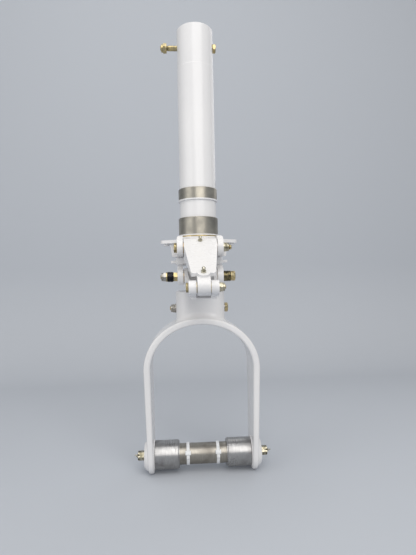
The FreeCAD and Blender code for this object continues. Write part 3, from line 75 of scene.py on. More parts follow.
def mottle(tree, place, scale, detail=4.0, stretch=(1, 1, 1)):
    """Noise over the surface, from 0 to 1, stretched along an axis if asked."""
    mapping = tree.nodes.new("ShaderNodeMapping")
    mapping.inputs["Scale"].default_value = stretch
    noise = tree.nodes.new("ShaderNodeTexNoise")
    noise.inputs["Scale"].default_value = scale
    noise.inputs["Detail"].default_value = detail
    tree.links.new(place, mapping.inputs["Vector"])
    tree.links.new(mapping.outputs["Vector"], noise.inputs["Vector"])
    return noise.outputs["Fac"]


def ramp(tree, factor, edges, first, last):
    """Colour that runs from first to last as factor goes from edge to edge."""
    node = tree.nodes.new("ShaderNodeValToRGB")
    for stop, edge, colour in zip(node.color_ramp.elements, edges, (first, last)):
        stop.position = edge
        stop.color = colour
    tree.links.new(factor, node.inputs["Fac"])
    return node.outputs["Color"]


def span(tree, factor, edges, first, last):
    """Number that runs from first to last as factor goes from edge to edge."""
    node = tree.nodes.new("ShaderNodeMapRange")
    node.inputs["From Min"].default_value = edges[0]
    node.inputs["From Max"].default_value = edges[1]
    node.inputs["To Min"].default_value = first
    node.inputs["To Max"].default_value = last
    tree.links.new(factor, node.inputs["Value"])
    return node.outputs["Result"]


def blend_numbers(tree, factor, first, last):
    """Mix of two numbers or number sockets by a mask."""
    node = tree.nodes.new("ShaderNodeMix")
    node.data_type = "FLOAT"
    tree.links.new(factor, node.inputs["Factor"])
    for socket, value in ((node.inputs["A"], first), (node.inputs["B"], last)):
        if hasattr(value, "is_output"):
            tree.links.new(value, socket)
        else:
            socket.default_value = value
    return node.outputs["Result"]


def blend_colours(tree, factor, first, last):
    """Mix of two colour sockets by a mask."""
    node = tree.nodes.new("ShaderNodeMix")
    node.data_type = "RGBA"
    tree.links.new(factor, node.inputs["Factor"])
    tree.links.new(first, node.inputs["A"])
    tree.links.new(last, node.inputs["B"])
    return node.outputs["Result"]


def relief(tree, shader, height, depth):
    """Bump of a real depth in metres."""
    bump = tree.nodes.new("ShaderNodeBump")
    bump.inputs["Strength"].default_value = 1.0
    bump.inputs["Distance"].default_value = depth
    tree.links.new(height, bump.inputs["Height"])
    tree.links.new(bump.outputs["Normal"], shader.inputs["Normal"])


def axis_value(tree, place, axis):
    """One coordinate of the place on the object."""
    split = tree.nodes.new("ShaderNodeSeparateXYZ")
    tree.links.new(place, split.inputs["Vector"])
    return split.outputs[axis]


def band(tree, value, middle, half):
    """1 where the value lies within half of the middle, and 0 elsewhere."""
    compare = tree.nodes.new("ShaderNodeMath")
    compare.operation = "COMPARE"
    compare.inputs[1].default_value = middle
    compare.inputs[2].default_value = half
    tree.links.new(value, compare.inputs[0])
    return compare.outputs["Value"]


def either(tree, first, last):
    """1 where either mask is 1."""
    both = tree.nodes.new("ShaderNodeMath")
    both.operation = "MAXIMUM"
    tree.links.new(first, both.inputs[0])
    tree.links.new(last, both.inputs[1])
    return both.outputs["Value"]


def coat_nodes(finish, *names):
    """Give CAD nodes a finish."""
    for name in names:
        nodes[name].data.materials.clear()
        nodes[name].data.materials.append(finish)


barrel_finish, tree, shader, place = new_finish("barrel enamel and bare lands")
height = axis_value(tree, place, "Z")
lands = either(tree, *[
    band(tree, height, middle, half)
    for middle, half in zip(LAND_MIDDLES, LAND_HALF_HEIGHTS)
])
clouds = mottle(tree, place, ENAMEL_CLOUDS)
enamel = ramp(tree, clouds, CLOUD_EDGES, ENAMEL_WHITE, ENAMEL_SHADE)
lathe_lines = mottle(tree, place, LATHE_RINGS, stretch=RINGS_ROUND_Z)
handling = mottle(tree, place, LAND_STAINS, detail=5)
steel = ramp(tree, handling, STAIN_EDGES, TURNED_STEEL, TURNED_STEEL_DARK)
tree.links.new(blend_colours(tree, lands, enamel, steel), shader.inputs["Base Color"])
tree.links.new(lands, shader.inputs["Metallic"])
steel_gloss = span(tree, handling, WIDE_EDGES, *LAND_ROUGHNESS)
gloss = blend_numbers(tree, lands, ENAMEL_ROUGHNESS, steel_gloss)
tree.links.new(gloss, shader.inputs["Roughness"])
orange_peel = mottle(tree, place, ORANGE_PEEL, detail=1)
relief(tree, shader, blend_numbers(tree, lands, orange_peel, lathe_lines), BARREL_RELIEF)
coat_nodes(barrel_finish, "barrel")


# Oleo column inside the barrel: an alloy head plug on a rubber ring, and the
# orifice tube and plate that hang from it, all machined and hidden in use.
ALLOY_BRIGHT = (0.72, 0.72, 0.73, 1)
ALLOY_DULL = (0.56, 0.56, 0.58, 1)
RUBBER_BLACK = (0.012, 0.012, 0.012, 1)
RUBBER_GREY = (0.03, 0.03, 0.03, 1)
RUBBER_GRAIN = 700
RUBBER_ROUGHNESS = 0.6
RUBBER_RELIEF = 0.00003
MACHINED_ROUGHNESS = 0.3
METAL_STAINS = 45
STAIN_DULLING = 0.12
PATCH_EDGES = (0.38, 0.62)
SURFACE_RELIEF = 0.00001


def turned_finish(name, bright, dark, roughness, stretch):
    """Bare metal with the lathe's rings across one axis and faint stains."""
    finish, tree, shader, place = new_finish(name)
    rings = mottle(tree, place, LATHE_RINGS, detail=5, stretch=stretch)
    stains = mottle(tree, place, METAL_STAINS, detail=5)
    colour = blend_colours(
        tree, span(tree, stains, PATCH_EDGES, 0.0, 1.0),
        ramp(tree, rings, WIDE_EDGES, dark, bright),
        ramp(tree, stains, WIDE_EDGES, bright, dark),
    )
    tree.links.new(colour, shader.inputs["Base Color"])
    shader.inputs["Metallic"].default_value = 1.0
    rough = span(tree, stains, WIDE_EDGES, roughness, roughness + STAIN_DULLING)
    tree.links.new(rough, shader.inputs["Roughness"])
    relief(tree, shader, rings, SURFACE_RELIEF)
    return finish


alloy = turned_finish(
    "machined alloy", ALLOY_BRIGHT, ALLOY_DULL, MACHINED_ROUGHNESS, RINGS_ROUND_Z
)
coat_nodes(alloy, "head_plug", "orifice_tube", "orifice_plate")
rubber, tree, shader, place = new_finish("seal rubber")
rubber_grain = mottle(tree, place, RUBBER_GRAIN, detail=2)
tree.links.new(
    ramp(tree, rubber_grain, WIDE_EDGES, RUBBER_BLACK, RUBBER_GREY), shader.inputs["Base Color"]
)
shader.inputs["Roughness"].default_value = RUBBER_ROUGHNESS
relief(tree, shader, rubber_grain, RUBBER_RELIEF)
coat_nodes(rubber, "head_seal")


# Filler valve on the head plug: a plated hexagon screwed into the plug, a short
# stem, and a fluted cap that is turned by hand.
PLATE_GOLD = (0.62, 0.49, 0.24, 1)
PLATE_DULL = (0.36, 0.31, 0.19, 1)
VALVE_FLATS = 0.012
VALVE_HEX_TOP = 0.0045
VALVE_STEM_R = 0.0034
VALVE_CAP_FOOT = 0.0068
VALVE_CAP_R = 0.0046
VALVE_EASE = 0.0005
VALVE_FLUTES = 18
FLUTE_DEPTH = 0.93
PLATING_ROUGHNESS = 0.30
PLATING_PATCHES = 190
PLATING_SCRATCHES = 900
SCRATCH_SHINE = 0.07
SCRATCH_DULLING = 0.10
TURNED_SIDES = 40
EASED_STEPS = 2
EASED_ANGLE = math.radians(40)
SMOOTH_ANGLE = math.radians(32)
CROWN_SHARE = 0.96
CROWN_SHOULDER = 1.02
CROWN_FOOT = 1.2
CROWN_LEAN = math.radians(30)
CROWN_SIDES = 48


def plated_finish(name, bright, dull, roughness):
    """Thin coloured plating on steel, patchy and a little scratched."""
    finish, tree, shader, place = new_finish(name)
    patches = mottle(tree, place, PLATING_PATCHES)
    tree.links.new(ramp(tree, patches, PATCH_EDGES, bright, dull), shader.inputs["Base Color"])
    shader.inputs["Metallic"].default_value = 1.0
    scratches = mottle(tree, place, PLATING_SCRATCHES, detail=3)
    smooth, rough = roughness - SCRATCH_SHINE, roughness + SCRATCH_DULLING
    tree.links.new(span(tree, scratches, WIDE_EDGES, smooth, rough), shader.inputs["Roughness"])
    relief(tree, shader, scratches, SURFACE_RELIEF)
    return finish


def pick(*pieces):
    """Select these pieces and nothing else."""
    bpy.ops.object.select_all(action="DESELECT")
    for piece in pieces:
        piece.select_set(True)
    bpy.context.view_layer.objects.active = pieces[0]


def turned_bar(name, way, spot, stations, sides=TURNED_SIDES):
    """Round bar drawn out along an axis from station to station (place, radius)."""
    along = Vector(way)
    across = Vector((1, 1, 1)) - along
    first, radius = stations[0]
    bpy.ops.object.select_all(action="DESELECT")
    bpy.ops.mesh.primitive_circle_add(
        vertices=sides, radius=radius, fill_type="NGON", location=spot * across + along * first,
        rotation=along.to_track_quat("Z", "Y").to_euler(),
    )
    bar = bpy.context.object
    bar.name = name
    bpy.ops.object.transform_apply(location=True, rotation=True, scale=True)
    bpy.ops.object.mode_set(mode="EDIT")
    reached = first
    for station, next_radius in stations[1:]:
        step = along * (station - reached)
        bpy.ops.mesh.extrude_region_move(TRANSFORM_OT_translate={"value": step})
        bpy.ops.transform.resize(
            value=along + across * (next_radius / radius),
            center_override=spot * across + along * station,
        )
        reached = station
        radius = next_radius
    bpy.ops.mesh.select_all(action="SELECT")
    bpy.ops.mesh.normals_make_consistent(inside=False)
    bpy.ops.object.mode_set(mode="OBJECT")
    return bar


def machine(piece, tool, operation):
    """Cut or trim a piece with a tool, which is then thrown away."""
    pick(piece)
    cut = piece.modifiers.new("machined", "BOOLEAN")
    cut.operation = operation
    cut.object = tool
    bpy.ops.object.modifier_apply(modifier=cut.name)
    bpy.data.objects.remove(tool)


def ease_edges(piece, width):
    """Round the sharp edges of a piece by a small width."""
    pick(piece)
    bevel = piece.modifiers.new("eased edges", "BEVEL")
    bevel.width = width
    bevel.segments = EASED_STEPS
    bevel.limit_method = "ANGLE"
    bevel.angle_limit = EASED_ANGLE
    bpy.ops.object.modifier_apply(modifier=bevel.name)


def hexagon_bar(name, way, spot, foot, crown, flats):
    """Hexagon from foot to crown, its corners turned off at the crown."""
    along = Vector(way)
    across = Vector((1, 1, 1)) - along
    corner = flats / math.sqrt(3)
    crown_r = CROWN_SHARE * flats / 2
    lean = (corner - crown_r) * math.tan(CROWN_LEAN)
    outward = math.copysign(1, crown - foot)
    bpy.ops.object.select_all(action="DESELECT")
    bpy.ops.mesh.primitive_cylinder_add(
        vertices=6, radius=corner, depth=abs(crown - foot),
        location=spot * across + along * (foot + crown) / 2,
        rotation=along.to_track_quat("Z", "Y").to_euler(),
    )
    bar = bpy.context.object
    bar.name = name
    bpy.ops.object.transform_apply(location=True, rotation=True, scale=True)
    cone = turned_bar("crown_tool", way, spot, [
        (foot - outward * lean, CROWN_FOOT * corner),
        (crown - outward * lean, CROWN_SHOULDER * corner),
        (crown, crown_r),
    ], CROWN_SIDES)
    machine(bar, cone, "INTERSECT")
    return bar


def one_piece(name, *parts):
    """Join parts into one piece with this name, round faces shaded smooth."""
    pick(*parts)
    if len(parts) > 1:
        bpy.ops.object.join()
    bpy.ops.object.shade_smooth_by_angle(angle=SMOOTH_ANGLE)
    parts[0].name = name
    return parts[0]


def fit_piece(piece, body, finish, slot, *replaced):
    """Coat a piece, let it ride on its body and stand for its CAD nodes."""
    piece.data.materials.clear()
    piece.data.materials.append(finish)
    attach(piece, body)
    if replaced:
        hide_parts(*replaced)


def box_middle(node):
    """Middle of a CAD node's box."""
    low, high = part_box(node)
    return (Vector(low) + Vector(high)) / 2


plated = plated_finish("yellow plated steel", PLATE_GOLD, PLATE_DULL, PLATING_ROUGHNESS)
valve_spot = box_middle("filler_valve")
valve_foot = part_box("filler_valve")[0][2]
valve_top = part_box("filler_valve")[1][2]
up = (0, 0, 1)
valve_hex = hexagon_bar(
    "valve_hexagon", up, valve_spot, valve_foot, valve_foot + VALVE_HEX_TOP, VALVE_FLATS
)
valve_stem = turned_bar("valve_stem", up, valve_spot, [
    (valve_foot + VALVE_HEX_TOP - VALVE_EASE, VALVE_STEM_R),
    (valve_foot + VALVE_CAP_FOOT + VALVE_EASE, VALVE_STEM_R),
])
valve_cap = turned_bar("valve_cap", up, valve_spot, [
    (valve_foot + VALVE_CAP_FOOT, VALVE_CAP_R - VALVE_EASE),
    (valve_foot + VALVE_CAP_FOOT + VALVE_EASE, VALVE_CAP_R),
    (valve_top - VALVE_EASE, VALVE_CAP_R),
    (valve_top, VALVE_CAP_R - VALVE_EASE),
], 2 * VALVE_FLUTES)
for point in valve_cap.data.vertices:
    lean = math.atan2(point.co.y - valve_spot.y, point.co.x - valve_spot.x)
    groove = round(lean * VALVE_FLUTES / math.pi) % 2
    point.select = bool(groove)
bpy.ops.object.mode_set(mode="EDIT")
bpy.ops.mesh.select_mode(type="VERT")
bpy.ops.transform.resize(value=(FLUTE_DEPTH, FLUTE_DEPTH, 1), center_override=valve_spot)
bpy.ops.object.mode_set(mode="OBJECT")
filler_valve = one_piece("filler_valve_and_cap", valve_hex, valve_stem, valve_cap)
fit_piece(filler_valve, "barrel", plated, "plated_hardware", "filler_valve")


# Attach bolt: a 5/16 bolt through the barrel's head, its head on the right and
# its bare shank standing out on the left behind a washer and a stop nut.
BOLT5_R = 0.00397
BOLT5_PITCH = 0.00106
HEAD5_H = 0.0048
HEX5_FLATS = 0.0127
THREAD_ROOT = 0.86
THREAD_RUN = 0.0125
TIP_CHAMFER = 0.0009
TIP_SHARE = 0.8
EDGE_EASE = 0.00022
RIDGE_SHARE = 0.47
HELIX_STEPS = 20
RIDGE_WELD = 1e-7
right_way = (1, 0, 0)


def rolled_thread(spot, low, high, crest, pitch):
    """Thread ridge wound round the X axis from low to high."""
    root = THREAD_ROOT * crest
    bpy.ops.object.select_all(action="DESELECT")
    bpy.ops.mesh.primitive_circle_add(vertices=4, radius=1, location=(low, spot.y, spot.z))
    ridge = bpy.context.object
    bpy.ops.object.mode_set(mode="EDIT")
    bpy.ops.transform.resize(
        value=(RIDGE_SHARE * pitch, crest - root, 1), center_override=(low, spot.y, spot.z)
    )
    bpy.ops.transform.translate(value=(0, root, 0))
    bpy.ops.object.mode_set(mode="OBJECT")
    winding = ridge.modifiers.new("winding", "SCREW")
    winding.axis = "X"
    winding.angle = math.tau
    winding.screw_offset = pitch
    winding.iterations = max(1, int((high - low) / pitch))
    winding.steps = HELIX_STEPS
    winding.render_steps = HELIX_STEPS
    bpy.ops.object.modifier_apply(modifier=winding.name)
    bpy.ops.object.transform_apply(location=True, rotation=True, scale=True)
    bpy.ops.object.mode_set(mode="EDIT")
    bpy.ops.mesh.select_all(action="SELECT")
    bpy.ops.mesh.remove_doubles(threshold=RIDGE_WELD)
    bpy.ops.mesh.fill_holes(sides=4)
    bpy.ops.mesh.normals_make_consistent(inside=False)
    bpy.ops.object.mode_set(mode="OBJECT")
    return ridge


def headed_bolt(node, head_side, radius, pitch, flats, head_h):
    """Hexagon-headed bolt along X in a CAD bolt's place; its tip is threaded."""
    low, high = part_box(node)
    spot = box_middle(node)
    head_end = high[0] if head_side > 0 else low[0]
    tip = low[0] if head_side > 0 else high[0]
    seat = head_end - head_side * head_h
    thread_end = tip + head_side * THREAD_RUN
    chamfer_end = tip + head_side * TIP_CHAMFER
    root = THREAD_ROOT * radius
    shank = turned_bar(node + "_shank", right_way, spot, [
        (seat + head_side * EDGE_EASE, radius),
        (thread_end, radius),
        (thread_end - head_side * TIP_CHAMFER, root),
        (chamfer_end, root),
        (tip, TIP_SHARE * root),
    ])
    ridge_low, ridge_high = sorted((chamfer_end, thread_end))
    ridge = rolled_thread(spot, ridge_low, ridge_high, radius, pitch)
    head = hexagon_bar(node + "_head", right_way, spot, seat, head_end, flats)
    ease_edges(head, EDGE_EASE)
    return one_piece(node + "_threaded", shank, ridge, head)


attach_bolt = headed_bolt("attach_bolt", 1, BOLT5_R, BOLT5_PITCH, HEX5_FLATS, HEAD5_H)
fit_piece(attach_bolt, "barrel", plated, "plated_hardware", "attach_bolt")
coat_nodes(plated, "attach_nut")


# Lower bearing group: a bronze bearing, its seals and retainer, and the wiper,
# held in the barrel's foot by the white gland nut.
BRONZE_BRIGHT = (0.60, 0.42, 0.20, 1)
BRONZE_DULL = (0.42, 0.28, 0.14, 1)
CASTING_ROUGHNESS = 0.27
CASTING_CLOUDS = 14
ENAMEL_FLOW = 70
FLOW_SHINE = 0.03
FLOW_DULLING = 0.05
CASTING_RELIEF = 0.000012


def enamel_finish(name, roughness):
    """Gloss white enamel over a machined or forged skin."""
    finish, tree, shader, place = new_finish(name)
    clouds = mottle(tree, place, CASTING_CLOUDS)
    colour = ramp(tree, clouds, CLOUD_EDGES, ENAMEL_WHITE, ENAMEL_SHADE)
    tree.links.new(colour, shader.inputs["Base Color"])
    flow = mottle(tree, place, ENAMEL_FLOW, detail=2)
    smooth, rough = roughness - FLOW_SHINE, roughness + FLOW_DULLING
    tree.links.new(span(tree, flow, WIDE_EDGES, smooth, rough), shader.inputs["Roughness"])
    relief(tree, shader, mottle(tree, place, ORANGE_PEEL, detail=1), CASTING_RELIEF)
    return finish


bronze = turned_finish(
    "bearing bronze", BRONZE_BRIGHT, BRONZE_DULL, MACHINED_ROUGHNESS, RINGS_ROUND_Z
)
coat_nodes(bronze, "lower_bearing", "bearing_retainer")
coat_nodes(rubber, "bearing_seals", "scraper")
casting_enamel = enamel_finish("casting enamel", CASTING_ROUGHNESS)
coat_nodes(casting_enamel, "gland_nut")


# Thrust shim: a thin yellow plated ring between the barrel's lip and the
# steering collar, which turns under it.
SHIM_GOLD = (0.66, 0.50, 0.22, 1)
SHIM_DULL = (0.50, 0.40, 0.22, 1)
SHIM_ROUGHNESS = 0.34

shim_plate = plated_finish("plated shim", SHIM_GOLD, SHIM_DULL, SHIM_ROUGHNESS)
coat_nodes(shim_plate, "thrust_shim")


# Steering collar: a forging with two arms and two link lugs, enamelled after
# the bushes are pressed into its arms, so they are white too.
coat_nodes(casting_enamel, "steering_collar", "steering_arm_bushes")


# Upper torque link: a forged white channel with bronze bushes, hung between
# the collar's lugs on a 5/16 bolt with a stop nut on the right.
FITTING_ZINC = (0.60, 0.57, 0.47, 1)
FITTING_DULL = (0.36, 0.34, 0.26, 1)
OLIVE_BRIGHT = (0.52, 0.48, 0.37, 1)
OLIVE_DULL = (0.21, 0.19, 0.13, 1)
OLIVE_ROUGHNESS = 0.26
FITTING_ROUGHNESS = 0.22
BUSH_ROUGHNESS = 0.32
RINGS_ROUND_X = (30, 1, 1)

coat_nodes(casting_enamel, "upper_torque_link")
link_bronze = turned_finish(
    "bush bronze", BRONZE_BRIGHT, BRONZE_DULL, BUSH_ROUGHNESS, RINGS_ROUND_X
)
coat_nodes(link_bronze, "upper_link_bushes")
upper_bolt = headed_bolt("upper_pivot_bolt", -1, BOLT5_R, BOLT5_PITCH, HEX5_FLATS, HEAD5_H)
fit_piece(upper_bolt, "steering_collar", plated, "plated_hardware", "upper_pivot_bolt")
olive_plate = plated_finish("olive cadmium plate", OLIVE_BRIGHT, OLIVE_DULL, OLIVE_ROUGHNESS)
coat_nodes(olive_plate, "upper_pivot_nut")
fitting_plate = plated_finish(
    "zinc plated fitting", FITTING_ZINC, FITTING_DULL, FITTING_ROUGHNESS
)
coat_nodes(fitting_plate, "grease_fittings")


# Piston group: a hard chromed tube with its bronze head bearing, the alloy plug
# and rubber ring in its foot, and the alloy metering pin that stands on the plug.
CHROME_BRIGHT = (0.78, 0.79, 0.80, 1)
CHROME_SHADE = (0.70, 0.71, 0.73, 1)
CHROME_ROUGHNESS = 0.07

chrome = turned_finish(
    "hard chrome", CHROME_BRIGHT, CHROME_SHADE, CHROME_ROUGHNESS, RINGS_ROUND_Z
)
coat_nodes(chrome, "piston")
coat_nodes(bronze, "head_bearing")
coat_nodes(alloy, "base_plug", "metering_pin")
coat_nodes(rubber, "base_seal")


# Lug ring and its bolt: a white ring clamped on the piston, and a long 5/16
# bolt that carries the lower link and, outside the ears, two tow-bar sleeves.
SLEEVE_EASE = 0.0009
SLEEVE_GROOVE = 0.0004
SLEEVE_SIDES = 56
SLEEVE_ROUGHNESS = 0.26
BLACK_OXIDE = (0.030, 0.030, 0.033, 1)
BLACK_RUBBED = (0.012, 0.012, 0.014, 1)
SLEEVE_GOLD = (0.20, 0.165, 0.085, 1)
SLEEVE_DARK = (0.035, 0.033, 0.026, 1)
STEEL_GREY = (0.42, 0.40, 0.37, 1)
STEEL_DARK = (0.26, 0.25, 0.23, 1)


def tow_sleeve(node, grooves):
    """Turned sleeve in a CAD sleeve's place, with shallow grooves round it."""
    low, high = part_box(node)
    spot = box_middle(node)
    radius = (high[2] - low[2]) / 2
    stations = [(low[0], radius - SLEEVE_EASE), (low[0] + SLEEVE_EASE, radius)]
    for number in range(grooves):
        middle = low[0] + (high[0] - low[0]) * (number + 1) / (grooves + 1)
        stations += [
            (middle - SLEEVE_GROOVE, radius),
            (middle - SLEEVE_GROOVE / 2, radius - SLEEVE_GROOVE),
            (middle + SLEEVE_GROOVE / 2, radius - SLEEVE_GROOVE),
            (middle + SLEEVE_GROOVE, radius),
        ]
    stations += [(high[0] - SLEEVE_EASE, radius), (high[0], radius - SLEEVE_EASE)]
    return one_piece(node + "_turned", turned_bar(node, right_way, spot, stations, SLEEVE_SIDES))


coat_nodes(casting_enamel, "lug_ring")
lower_bolt = headed_bolt("lower_pivot_bolt", 1, BOLT5_R, BOLT5_PITCH, HEX5_FLATS, HEAD5_H)
fit_piece(lower_bolt, "piston", plated, "plated_hardware", "lower_pivot_bolt")
blackened = plated_finish("blackened steel", BLACK_OXIDE, BLACK_RUBBED, PLATING_ROUGHNESS)
left_sleeve = tow_sleeve("tow_sleeve_left", 1)
fit_piece(left_sleeve, "piston", blackened, "black_sleeve", "tow_sleeve_left")
dark_plate = plated_finish("dark yellow plate", SLEEVE_GOLD, SLEEVE_DARK, SLEEVE_ROUGHNESS)
right_sleeve = tow_sleeve("tow_sleeve_right", 2)
fit_piece(right_sleeve, "piston", dark_plate, "plated_hardware", "tow_sleeve_right")
grey_steel = plated_finish("worn grey steel", STEEL_GREY, STEEL_DARK, PLATING_ROUGHNESS)
coat_nodes(grey_steel, "lower_pivot_nut")
coat_nodes(plated, "hex_sleeve", "lower_pivot_washers")


# Lower torque link: a second white forging, bushed on the lower bolt, whose
# knee takes a 1/4 bolt with thin washers each side of the upper link's lug.
BOLT4_R = 0.003175
BOLT4_PITCH = 0.00091
HEAD4_H = 0.0034
HEX4_FLATS = 0.0111

coat_nodes(casting_enamel, "lower_torque_link")
coat_nodes(link_bronze, "lower_link_bushes")
knee_bolt = headed_bolt("knee_bolt", -1, BOLT4_R, BOLT4_PITCH, HEX4_FLATS, HEAD4_H)
fit_piece(knee_bolt, "lower_link", plated, "plated_hardware", "knee_bolt")
coat_nodes(olive_plate, "knee_nut")
coat_nodes(plated, "knee_washers")


# Wheel fork: a flat bar bent to an arch and welded to a socket for the piston,
# cross bolted there, and enamelled like the castings.
fork_enamel = enamel_finish("fork enamel", ENAMEL_ROUGHNESS)
coat_nodes(fork_enamel, "fork")
fork_bolt = headed_bolt("fork_bolt", 1, BOLT5_R, BOLT5_PITCH, HEX5_FLATS, HEAD5_H)
fit_piece(fork_bolt, "piston", plated, "plated_hardware", "fork_bolt")
coat_nodes(grey_steel, "fork_nut")


# Axle: a turned tube between the fork's eyes, with a spacer at each end, both
# bare metal rubbed dull by handling.
AXLE_BRIGHT = (0.47, 0.44, 0.385, 1)
AXLE_DARK = (0.25, 0.23, 0.20, 1)
SPACER_BRIGHT = (0.56, 0.555, 0.545, 1)
SPACER_DARK = (0.235, 0.225, 0.22, 1)
AXLE_ROUGHNESS = 0.30
SPACER_ROUGHNESS = 0.26

axle_metal = turned_finish(
    "turned axle metal", AXLE_BRIGHT, AXLE_DARK, AXLE_ROUGHNESS, RINGS_ROUND_X
)
coat_nodes(axle_metal, "axle_tube")
spacer_metal = turned_finish(
    "turned spacer metal", SPACER_BRIGHT, SPACER_DARK, SPACER_ROUGHNESS, RINGS_ROUND_X
)
coat_nodes(spacer_metal, "wheel_spacers")


# Axle stud: a rod threaded at both ends, which pulls the fork's legs on to the
# spacers with washers and castle nuts.
STUD_STICKOUT = 0.0012


def double_stud(node, half, radius, pitch):
    """Rod along X with a thread on each end."""
    spot = box_middle(node)
    root = THREAD_ROOT * radius
    parts = [turned_bar(node + "_rod", right_way, spot, [
        (-half, TIP_SHARE * root),
        (TIP_CHAMFER - half, root),
        (THREAD_RUN - half, root),
        (THREAD_RUN + TIP_CHAMFER - half, radius),
        (half - THREAD_RUN - TIP_CHAMFER, radius),
        (half - THREAD_RUN, root),
        (half - TIP_CHAMFER, root),
        (half, TIP_SHARE * root),
    ])]
    for start in (TIP_CHAMFER - half, half - THREAD_RUN):
        reach = start + THREAD_RUN - TIP_CHAMFER
        parts.append(rolled_thread(spot, start, reach, radius, pitch))
    return one_piece(node + "_threaded", *parts)


stud_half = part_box("axle_nuts")[1][0] + STUD_STICKOUT
axle_stud = double_stud("axle_stud", stud_half, BOLT5_R, BOLT5_PITCH)
fit_piece(axle_stud, "piston", olive_plate, "plated_hardware", "axle_stud")
coat_nodes(olive_plate, "axle_nuts")


# Axle cotter pins: soft plated wire folded to an eye, pushed through the castle
# nuts, one leg left standing out past the stud and the other bent back.
COTTER_R = 0.00075
COTTER_LEAN = math.radians(60)
COTTER_REACH = 0.0074
COTTER_BEND_R = 0.0012
COTTER_EYE_R = 0.0016
COTTER_LONG_LEG = 0.0038
COTTER_SHORT_LEG = 0.0018
COTTER_INSET = 0.0032
WIRE_SIDES = 12
BEND_STEPS = 8
WIRE_WELD = 1e-6
THIRD_TURN = math.radians(120)


def bent_wire(name, start, heading, radius, moves):
    """Wire drawn from start; a move is a length, or a bend (angle, radius, axis)."""
    heading = Vector(heading).normalized()
    place = Vector(start)
    bpy.ops.object.select_all(action="DESELECT")
    bpy.ops.mesh.primitive_circle_add(
        vertices=WIRE_SIDES, radius=radius, fill_type="NGON", location=place,
        rotation=heading.to_track_quat("Z", "Y").to_euler(),
    )
    wire = bpy.context.object
    wire.name = name
    bpy.ops.object.transform_apply(location=True, rotation=True, scale=True)
    bpy.ops.object.mode_set(mode="EDIT")
    for move in moves:
        if isinstance(move, tuple):
            angle, bend_r, axis = move
            pivot = place + Vector(axis).cross(heading) * bend_r
            bpy.ops.mesh.spin(steps=BEND_STEPS, angle=angle, center=pivot, axis=axis)
            turn = Matrix.Rotation(angle, 3, Vector(axis))
            place = pivot + turn @ (place - pivot)
            heading = turn @ heading
        else:
            step = heading * move
            bpy.ops.mesh.extrude_region_move(TRANSFORM_OT_translate={"value": step})
            place = place + step
    bpy.ops.mesh.select_all(action="SELECT")
    bpy.ops.mesh.remove_doubles(threshold=WIRE_WELD)
    bpy.ops.mesh.normals_make_consistent(inside=False)
    bpy.ops.object.mode_set(mode="OBJECT")
    return wire


def split_pin(name, side, spot):
    """Cotter pin across the stud; its eye is behind and its legs are in front."""
    back = Vector((0, math.sin(COTTER_LEAN), -math.cos(COTTER_LEAN)))
    hinge = Vector((side, 0, 0)).cross(back)
    neck = spot + back * (COTTER_REACH + COTTER_EYE_R)
    apart = Vector((side * COTTER_R, 0, 0))
    parts = []
    for half, leg in ((1, COTTER_LONG_LEG), (-1, COTTER_SHORT_LEG)):
        parts.append(bent_wire(name, neck + half * apart, -back, COTTER_R, [
            2 * COTTER_REACH + COTTER_EYE_R,
            (math.pi / 2, COTTER_BEND_R, hinge * half),
            leg,
        ]))
    parts.append(bent_wire(name, neck + apart, back, COTTER_R, [
        (THIRD_TURN, COTTER_EYE_R, -hinge),
        (THIRD_TURN, COTTER_EYE_R / 2, -hinge),
        (THIRD_TURN, COTTER_EYE_R, -hinge),
    ]))
    return one_piece(name, *parts)


for name, side in (("left_cotter", -1), ("right_cotter", 1)):
    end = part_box("axle_cotters")[1 if side > 0 else 0][0]
    pin_spot = box_middle("axle_stud")
    pin_spot.x = end - side * COTTER_INSET
    cotter = split_pin(name, side, pin_spot)
    fit_piece(cotter, "piston", olive_plate, "plated_hardware", "axle_cotters")


# Cable ties: two natural nylon ties drawn round the axle between the spacers,
# each with a square locking head and its tail cut off below it.
TIE_W = 0.0048
TIE_T = 0.0013
TIE_HEAD_W = 0.0085
TIE_HEAD_T = 0.0044
TIE_HEAD_H = 0.0064
TIE_HEAD_LIFT = math.radians(24)
TIE_TAIL_DROP = 0.0050
TIE_EASE = 0.0005
TIE_SLOT_SHARE = 0.62
TIE_SLOT_FRONT = 0.35
TIE_SLOT_BACK = 0.75
TIE_TOOTH = 0.0009
TIE_TOOTH_RISE = 0.7
STRAP_SIDES = 72
NYLON_WHITE = (0.80, 0.81, 0.82, 1)
NYLON_SHADE = (0.70, 0.72, 0.74, 1)
NYLON_CLOUDS = 300
NYLON_ROUGHNESS = 0.38
NYLON_COAT = 0.15
NYLON_RELIEF = 0.00002


def block(name, low, high):
    """Square block between two corners."""
    low = Vector(low)
    high = Vector(high)
    bpy.ops.object.select_all(action="DESELECT")
    bpy.ops.mesh.primitive_cube_add(size=1, location=(low + high) / 2, scale=high - low)
    cube = bpy.context.object
    cube.name = name
    bpy.ops.object.transform_apply(location=True, rotation=True, scale=True)
    return cube


def tilt(piece, angle, spot):
    """Turn a piece about the X axis through spot."""
    pick(piece)
    bpy.ops.object.mode_set(mode="EDIT")
    bpy.ops.mesh.select_all(action="SELECT")
    bpy.ops.transform.rotate(value=angle, orient_axis="X", center_override=spot)
    bpy.ops.object.mode_set(mode="OBJECT")


